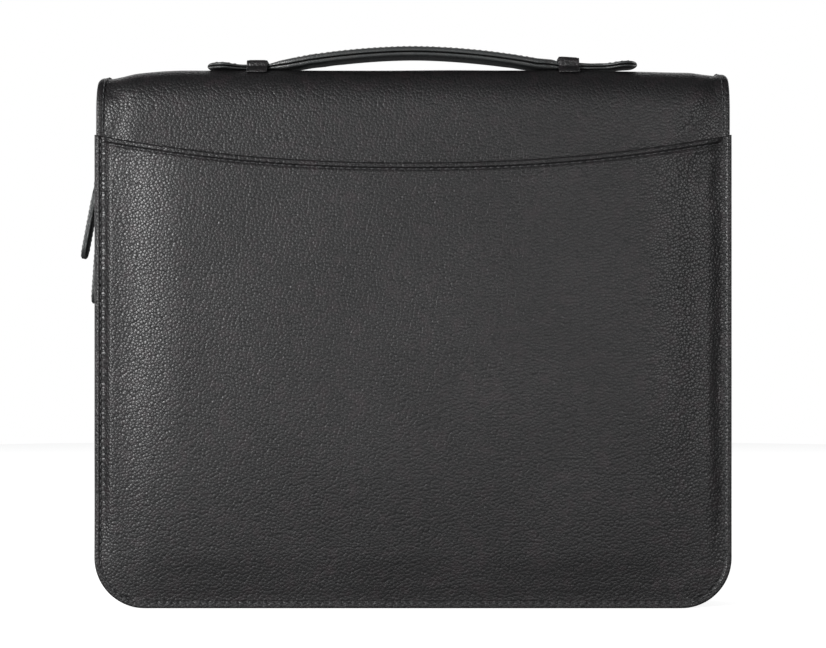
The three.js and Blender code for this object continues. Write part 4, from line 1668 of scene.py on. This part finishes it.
@dataclass
class StrapHandle:
    """The two leather layers of the strap, with a paddle at each end, and the keepers that hold it."""

    length: float = 230.0
    shift: float = 5.0
    arch: float = 6.2
    arch_reach: float = 0.574
    arch_power: float = 1.8
    width: float = 25.0
    thick: float = 6.0
    top_share: float = 0.55
    squareness: float = 0.5
    paddle_lift: float = 1.0
    paddle_start: float = 0.82
    groove: float = 0.55
    keeper_at: float = 83.03
    keeper_long: float = 11.0
    keeper_wall: float = 1.8
    keeper_foot: float = 5.0
    keeper_room: float = 0.5
    keeper_squareness: float = 0.35
    keeper_corner: float = 1.6
    seam_share: float = 0.80
    seam_pitch: float = 0.8
    seam_sink: float = 0.25
    seam_press: float = 0.22
    grip_seam: tuple[float, float] = (-66.0, 60.1)
    paddle_seam: tuple[float, float] = (100.0, 110.0)
    wave: float = 0.10
    neck_width: float = 0.52
    neck_thick: float = 0.45
    shoulder_thick: float = 0.72
    keeper_slant: float = 0.35
    sections: tuple[StrapSection, ...] = (
        StrapSection(-1.0, 0.95, 0.64),
        StrapSection(-0.91, 0.92, 0.62),
        StrapSection(-0.87, 0.70, 0.52),
        StrapSection(-0.83, 0.52, 0.45),
        StrapSection(-0.72, 0.52, 0.45),
        StrapSection(-0.66, 0.68, 0.84),
        StrapSection(-0.61, 0.84, 0.97),
        StrapSection(-0.52, 0.95, 1.0),
        StrapSection(-0.32, 1.0, 1.0),
        StrapSection(0.28, 1.0, 1.0),
        StrapSection(0.48, 0.90, 1.0),
        StrapSection(0.56, 0.72, 1.0),
        StrapSection(0.60, 0.57, 0.94),
        StrapSection(0.63, 0.52, 0.74),
        StrapSection(0.68, 0.52, 0.69),
        StrapSection(0.73, 0.52, 0.62),
        StrapSection(0.84, 0.52, 0.57),
        StrapSection(0.875, 0.70, 0.58),
        StrapSection(0.915, 0.92, 0.62),
        StrapSection(1.0, 0.95, 0.64),
    )

    def measures(self, share: np.ndarray) -> tuple[np.ndarray, np.ndarray]:
        """Read the strap's width and thickness.

        Args:
            share: Shares of the half length.

        Returns:
            Full width and full thickness at each.
        """
        fine = np.linspace(-1.0, 1.0, 801)
        at = [section.at for section in self.sections]
        kernel = np.hanning(13) / np.hanning(13).sum()
        read = []
        for values in ([s.width for s in self.sections], [s.thick for s in self.sections]):
            line = np.interp(fine, at, values)
            line = np.convolve(np.pad(line, 6, mode="edge"), kernel, mode="valid")
            read.append(np.interp(share, fine, line))
        close = np.clip((np.abs(share) - 0.9) / 0.1, 0.0, 0.998)
        width = self.width * read[0] * np.sqrt(1 - close**2.6)
        end = np.clip((np.abs(share) - 0.965) / 0.035, 0.0, 0.985)
        thick = self.thick * read[1] * np.sqrt(1 - end**2)
        return width, thick

    def lift(self, share: np.ndarray) -> np.ndarray:
        """Say how far the underside is off the spine.

        Args:
            share: Shares of the half length.

        Returns:
            The distance at each.
        """
        from_middle = np.abs(share + 2 * self.shift / self.length)
        arch = np.clip(1 - (from_middle / self.arch_reach) ** self.arch_power, 0.0, None)
        return self.arch * arch + self.paddle_lift * ramp(share, self.paddle_start, 1 - self.paddle_start)

    def seam_height(self, share: np.ndarray) -> np.ndarray:
        """Give the height of the joint between the two layers.

        Args:
            share: Shares of the half length.

        Returns:
            The height at each.
        """
        places = [section.at for section in self.sections]
        full = self.thick * np.interp(share, places, [section.thick for section in self.sections])
        return FORM.height + FORM.clearance + self.lift(share) + (1 - self.top_share) * full

    def layer(self, way: int, node: str) -> Piece:
        """Make one layer.

        Args:
            way: 1 for the upper layer and -1 for the lower one.
            node: The node that it stands for.

        Returns:
            The layer.
        """
        inner = np.linspace(-0.96, 0.96, 151)
        ends = 0.96 + 0.04 * np.sin(np.linspace(0.0, math.pi / 2, 9)[1:])
        share = np.concatenate([-ends[::-1], inner, ends])
        width, thick = self.measures(share)
        own = thick * (self.top_share if way > 0 else 1 - self.top_share) - FORM.clearance / 2
        cos, sin = circle(36)
        y_share = signed_power(cos, self.squareness)
        groove = np.minimum(self.groove, 0.45 * own)[:, None]
        up = np.abs(sin) ** self.squareness
        crowned = groove + (own[:, None] - groove) * up[None, :]
        tucked = groove * (1 - up[None, :])
        z_out = np.where(sin[None, :] >= 0, crowned, tucked)
        outside = sin[None, :] > 0
        pressed = self.seam_press * ridge(np.abs(y_share)[None, :], self.seam_share, 0.07) * outside
        pressed = pressed * ramp(width, 8.0, 8.0)[:, None]
        inset = np.where(sin[None, :] < 0, 0.5 * (1 - np.abs(cos[None, :])), 0.0)
        y = y_share[None, :] * (width[:, None] / 2 - inset)
        wave = self.wave * np.sin(share * 61.0 + 1.3) * ramp(np.abs(share), 0.3, 0.2)
        rise = way * (FORM.clearance / 2 + z_out - pressed)
        z = self.seam_height(share)[:, None] + rise + wave[:, None] * outside
        x = np.broadcast_to((self.shift + share * self.length / 2)[:, None], y.shape)
        rings = np.stack([x, y, z], axis=2)
        if way < 0:
            rings = rings[:, ::-1]
        form = tube(rings)
        return Piece(f"{node}_leather", form, SMOOTH_LEATHER, Slot.STRAP, stands_for=(node,))

    def grip_seams(self) -> Piece:
        """Sew the grip and the paddles along both edges of the upper layer.

        Returns:
            The stitches.
        """
        step = FORM.stitch_pitch * self.seam_pitch
        paddle = np.arange(*self.paddle_seam, step)
        x = np.concatenate([np.arange(*self.grip_seam, step), paddle, -paddle])
        share = np.clip(x / (self.length / 2), -0.97, 0.97)
        width, thick = self.measures(share)
        parts = []
        for hand in (-1.0, 1.0):
            y = hand * self.seam_share * width / 2
            own = thick * self.top_share - FORM.clearance / 2
            drop = (1 - self.seam_share ** (2 / self.squareness)) ** (self.squareness / 2)
            rise = own * drop - self.seam_sink
            z = self.seam_height(share) + FORM.clearance / 2 + rise
            ahead = share + 0.005
            way_z = self.seam_height(ahead) - self.seam_height(share)
            middles = np.stack([x + self.shift, y, z], axis=1)
            ways = np.stack([np.full(len(x), 0.005 * self.length / 2), 0 * x, way_z], axis=1)
            outs = np.stack([0 * x, 0.3 * hand + 0 * x, 1.0 + 0 * x], axis=1)
            parts.append(Stitches(length=2.4, radius=0.3).along(middles, ways, outs))
        return Piece("grip_seams", gathered(parts), THREAD, Slot.STRAP)

    def keeper_line(self, hand: int) -> tuple[np.ndarray, float]:
        """Draw a keeper's way from one foot over the strap to the other.

        Args:
            hand: -1 on the left and 1 on the right.

        Returns:
            The middle of its wall, as Y and Z, and Y of its tip.
        """
        half = self.keeper_wall / 2
        side = self.neck_width * self.width / 2 + self.keeper_room + half
        filled = self.neck_thick if hand < 0 else self.shoulder_thick
        roof = FORM.height + FORM.clearance + filled * self.thick + self.keeper_room + half
        tip = side + half + self.keeper_foot
        corner = self.keeper_corner
        turn = np.linspace(0.0, math.pi / 2, 7)
        foot_y = np.array([tip, tip - 1.5, side + corner + 0.8])
        foot = np.stack([foot_y, FORM.spine_top(foot_y) + FORM.clearance + half], axis=1)
        bend = float(FORM.spine_top(np.array(side))) + FORM.clearance + half + corner
        low = np.stack([side + corner - corner * np.sin(turn), bend - corner * np.cos(turn)], axis=1)
        over = roof - corner
        high = np.stack([side - corner + corner * np.cos(turn), over + corner * np.sin(turn)], axis=1)
        right = np.concatenate([foot, low, high])
        return np.concatenate([right, right[::-1] * [-1.0, 1.0]]), tip

    def keeper(self, hand: int, node: str) -> Piece:
        """Make one loop over the strap, with its two feet on the spine.

        Args:
            hand: -1 on the left and 1 on the right.
            node: The node that it stands for.

        Returns:
            The loop.
        """
        line, tip = self.keeper_line(hand)
        ahead = unit(np.gradient(line, axis=0))
        cos, sin = circle(28)
        across = signed_power(cos, self.keeper_squareness)
        dip = 1.0 - 0.16 * ridge(np.abs(cos), 0.62, 0.12)
        swell = self.keeper_wall / 2 * signed_power(sin, self.keeper_squareness) * dip
        x = hand * self.keeper_at + self.keeper_long / 2 * across
        slant = self.keeper_slant * (hand > 0) * ramp(line[:, 1], FORM.height + 1.0, 3.0)
        taper = 1 - 0.6 * ramp(np.abs(line[:, 0]), tip - 1.2, 1.2)
        rings = []
        for (y, z), (ay, az), share, lean in zip(line, ahead, taper, slant):
            out = share * swell
            rings.append(np.stack([x, y - out * az, z + out * ay - lean * across], axis=1))
        form = tube(np.array(rings)[:, ::-1])
        return Piece(f"{node}_leather", form, stands_for=(node,))


@dataclass(frozen=True)
class Softbox:
    """A soft rectangular lamp, aimed at the case. Metres and watts."""

    name: str
    place: tuple[float, float, float]
    size: tuple[float, float]
    power: float
    aim: tuple[float, float, float] = (0.0, 0.0, 0.15)

    def hang(self) -> None:
        """Put the lamp up."""
        lamp = bpy.data.lights.new(self.name, "AREA")
        lamp.shape = "RECTANGLE"
        lamp.size, lamp.size_y = self.size
        lamp.energy = self.power
        thing = bpy.data.objects.new(self.name, lamp)
        thing.location = self.place
        sight = Vector(self.aim) - Vector(self.place)
        thing.rotation_euler = sight.to_track_quat("-Z", "Y").to_euler()
        thing.visible_camera = False
        bpy.context.scene.collection.objects.link(thing)


@dataclass
class Studio:
    """The pale floor, the soft lamps and the camera. Metres."""

    photo_width: float = 826.0
    pixel: float = 0.0005263
    distance: float = 1.2
    front_plane: float = -0.0185
    eye_height: float = 0.1495
    sensor: float = 36.0
    floor_reach: float = 1.7
    floor_glow: float = 0.82
    surround: float = 0.08
    lamps: tuple[Softbox, ...] = (
        Softbox("key_left", (-0.85, -1.0, 0.42), (0.35, 0.55), 17.8, (-0.1, 0.0, 0.13)),
        Softbox("front_fill", (0.0, -1.7, 0.05), (1.3, 0.8), 3.1),
        Softbox("right_fill", (0.75, -1.35, 0.30), (0.4, 0.4), 4.1),
        Softbox("left_side", (-1.2, 0.45, 0.3), (0.8, 0.8), 5.0),
        Softbox("right_side", (1.2, 0.45, 0.3), (0.8, 0.8), 5.0),
        Softbox("back_rim", (0.0, 1.2, 0.9), (2.2, 0.7), 6.0),
    )

    def floor(self) -> None:
        """Lay the floor."""
        cos, sin = circle(48)
        radii = np.linspace(0.05, self.floor_reach, 24)
        rings = [np.stack([radius * cos, radius * sin, 0 * cos], axis=1) for radius in radii]
        points, faces = tube(np.array(rings))
        mesh = bpy.data.meshes.new("floor")
        mesh.from_pydata(points.tolist(), [], faces[:-1])
        bench = NodeBench("pale_floor")
        mottle = bench.noise(bench.place, 3.0, 2.0)
        colour = bench.blend(mottle, (0.60, 0.60, 0.60, 1.0), (0.64, 0.64, 0.64, 1.0))
        shader = bench.add("BsdfPrincipled", Base_Color=colour, Roughness=0.9)
        shader.inputs["Emission Color"].default_value = (1.0, 1.0, 1.0, 1.0)
        shader.inputs["Emission Strength"].default_value = self.floor_glow
        mesh.materials.append(bench.finish(shader))
        thing = bpy.data.objects.new("floor", mesh)
        thing.visible_diffuse = False
        thing.visible_glossy = False
        bpy.context.scene.collection.objects.link(thing)

    def surroundings(self) -> None:
        """Make the room round the case white to the eye and dim to its reflections."""
        world = bpy.data.worlds.new("room")
        world.use_nodes = True
        tree = world.node_tree
        tree.nodes.clear()
        seen = tree.nodes.new("ShaderNodeBackground")
        seen.inputs["Color"].default_value = (1.0, 1.0, 1.0, 1.0)
        light = tree.nodes.new("ShaderNodeBackground")
        light.inputs["Color"].default_value = (0.96, 0.98, 1.0, 1.0)
        light.inputs["Strength"].default_value = self.surround
        ray = tree.nodes.new("ShaderNodeLightPath")
        mix = tree.nodes.new("ShaderNodeMixShader")
        output = tree.nodes.new("ShaderNodeOutputWorld")
        tree.links.new(ray.outputs["Is Camera Ray"], mix.inputs[0])
        tree.links.new(light.outputs[0], mix.inputs[1])
        tree.links.new(seen.outputs[0], mix.inputs[2])
        tree.links.new(mix.outputs[0], output.inputs["Surface"])
        bpy.context.scene.world = world

    def camera(self) -> None:
        """Set the camera level in front of the case."""
        lens = bpy.data.cameras.new("front_camera")
        lens.sensor_fit = "HORIZONTAL"
        lens.sensor_width = self.sensor
        lens.lens = self.sensor * self.distance / (self.photo_width * self.pixel)
        lens.clip_start = 0.05
        eye = bpy.data.objects.new("front_camera", lens)
        eye.location = (FORM.middle.x * MM, self.front_plane - self.distance, self.eye_height)
        eye.rotation_euler = (math.pi / 2, 0.0, 0.0)
        bpy.context.scene.collection.objects.link(eye)
        bpy.context.scene.camera = eye

    def build(self) -> None:
        """Set the whole studio up."""
        self.camera()
        self.floor()
        self.surroundings()
        for lamp in self.lamps:
            lamp.hang()
        bpy.context.scene.view_settings.view_transform = "Standard"
        bpy.context.scene.view_settings.look = "None"
        LOG.info("studio: %d lamps", len(self.lamps))


def main() -> None:
    """Build the case piece by piece, then the studio."""
    logging.basicConfig(level=logging.INFO, format="%(name)s %(message)s")
    wrap = CoverWrap()
    pocket = FrontPocket()
    gussets = Gussets()
    closure = Zip()
    handle = StrapHandle()
    sliders = Sliders()
    pieces = [
        wrap.build(),
        wrap.back_seam(),
        wrap.spine_seams(pocket.mouth_middle + pocket.mouth_sag + 2.0),
        pocket.build(),
        pocket.mouth_seam(),
        pocket.border_seam(),
        gussets.band(Side.FRONT, "gusset_front"),
        gussets.band(Side.BACK, "gusset_back"),
        gussets.seam(Side.FRONT),
        gussets.seam(Side.BACK),
        gussets.end_panel(-1, "end_panel_left"),
        gussets.end_panel(1, "end_panel_right"),
        closure.tape(Side.FRONT, "zip_tape_front"),
        closure.tape(Side.BACK, "zip_tape_back"),
        *closure.chains(),
        handle.layer(1, "handle_top"),
        handle.layer(-1, "handle_base"),
        handle.grip_seams(),
        handle.keeper(-1, "keeper_left"),
        handle.keeper(1, "keeper_right"),
    ]
    for pull in sliders.pulls(closure.chain_inset):
        pieces += [pull.link(), pull.tab(), pull.tab_seam()]
    for piece in pieces:
        piece.place()
    for node in sliders.nodes:
        sliders.build(node)
    Studio().build()


if __name__ == "__main__":
    main()
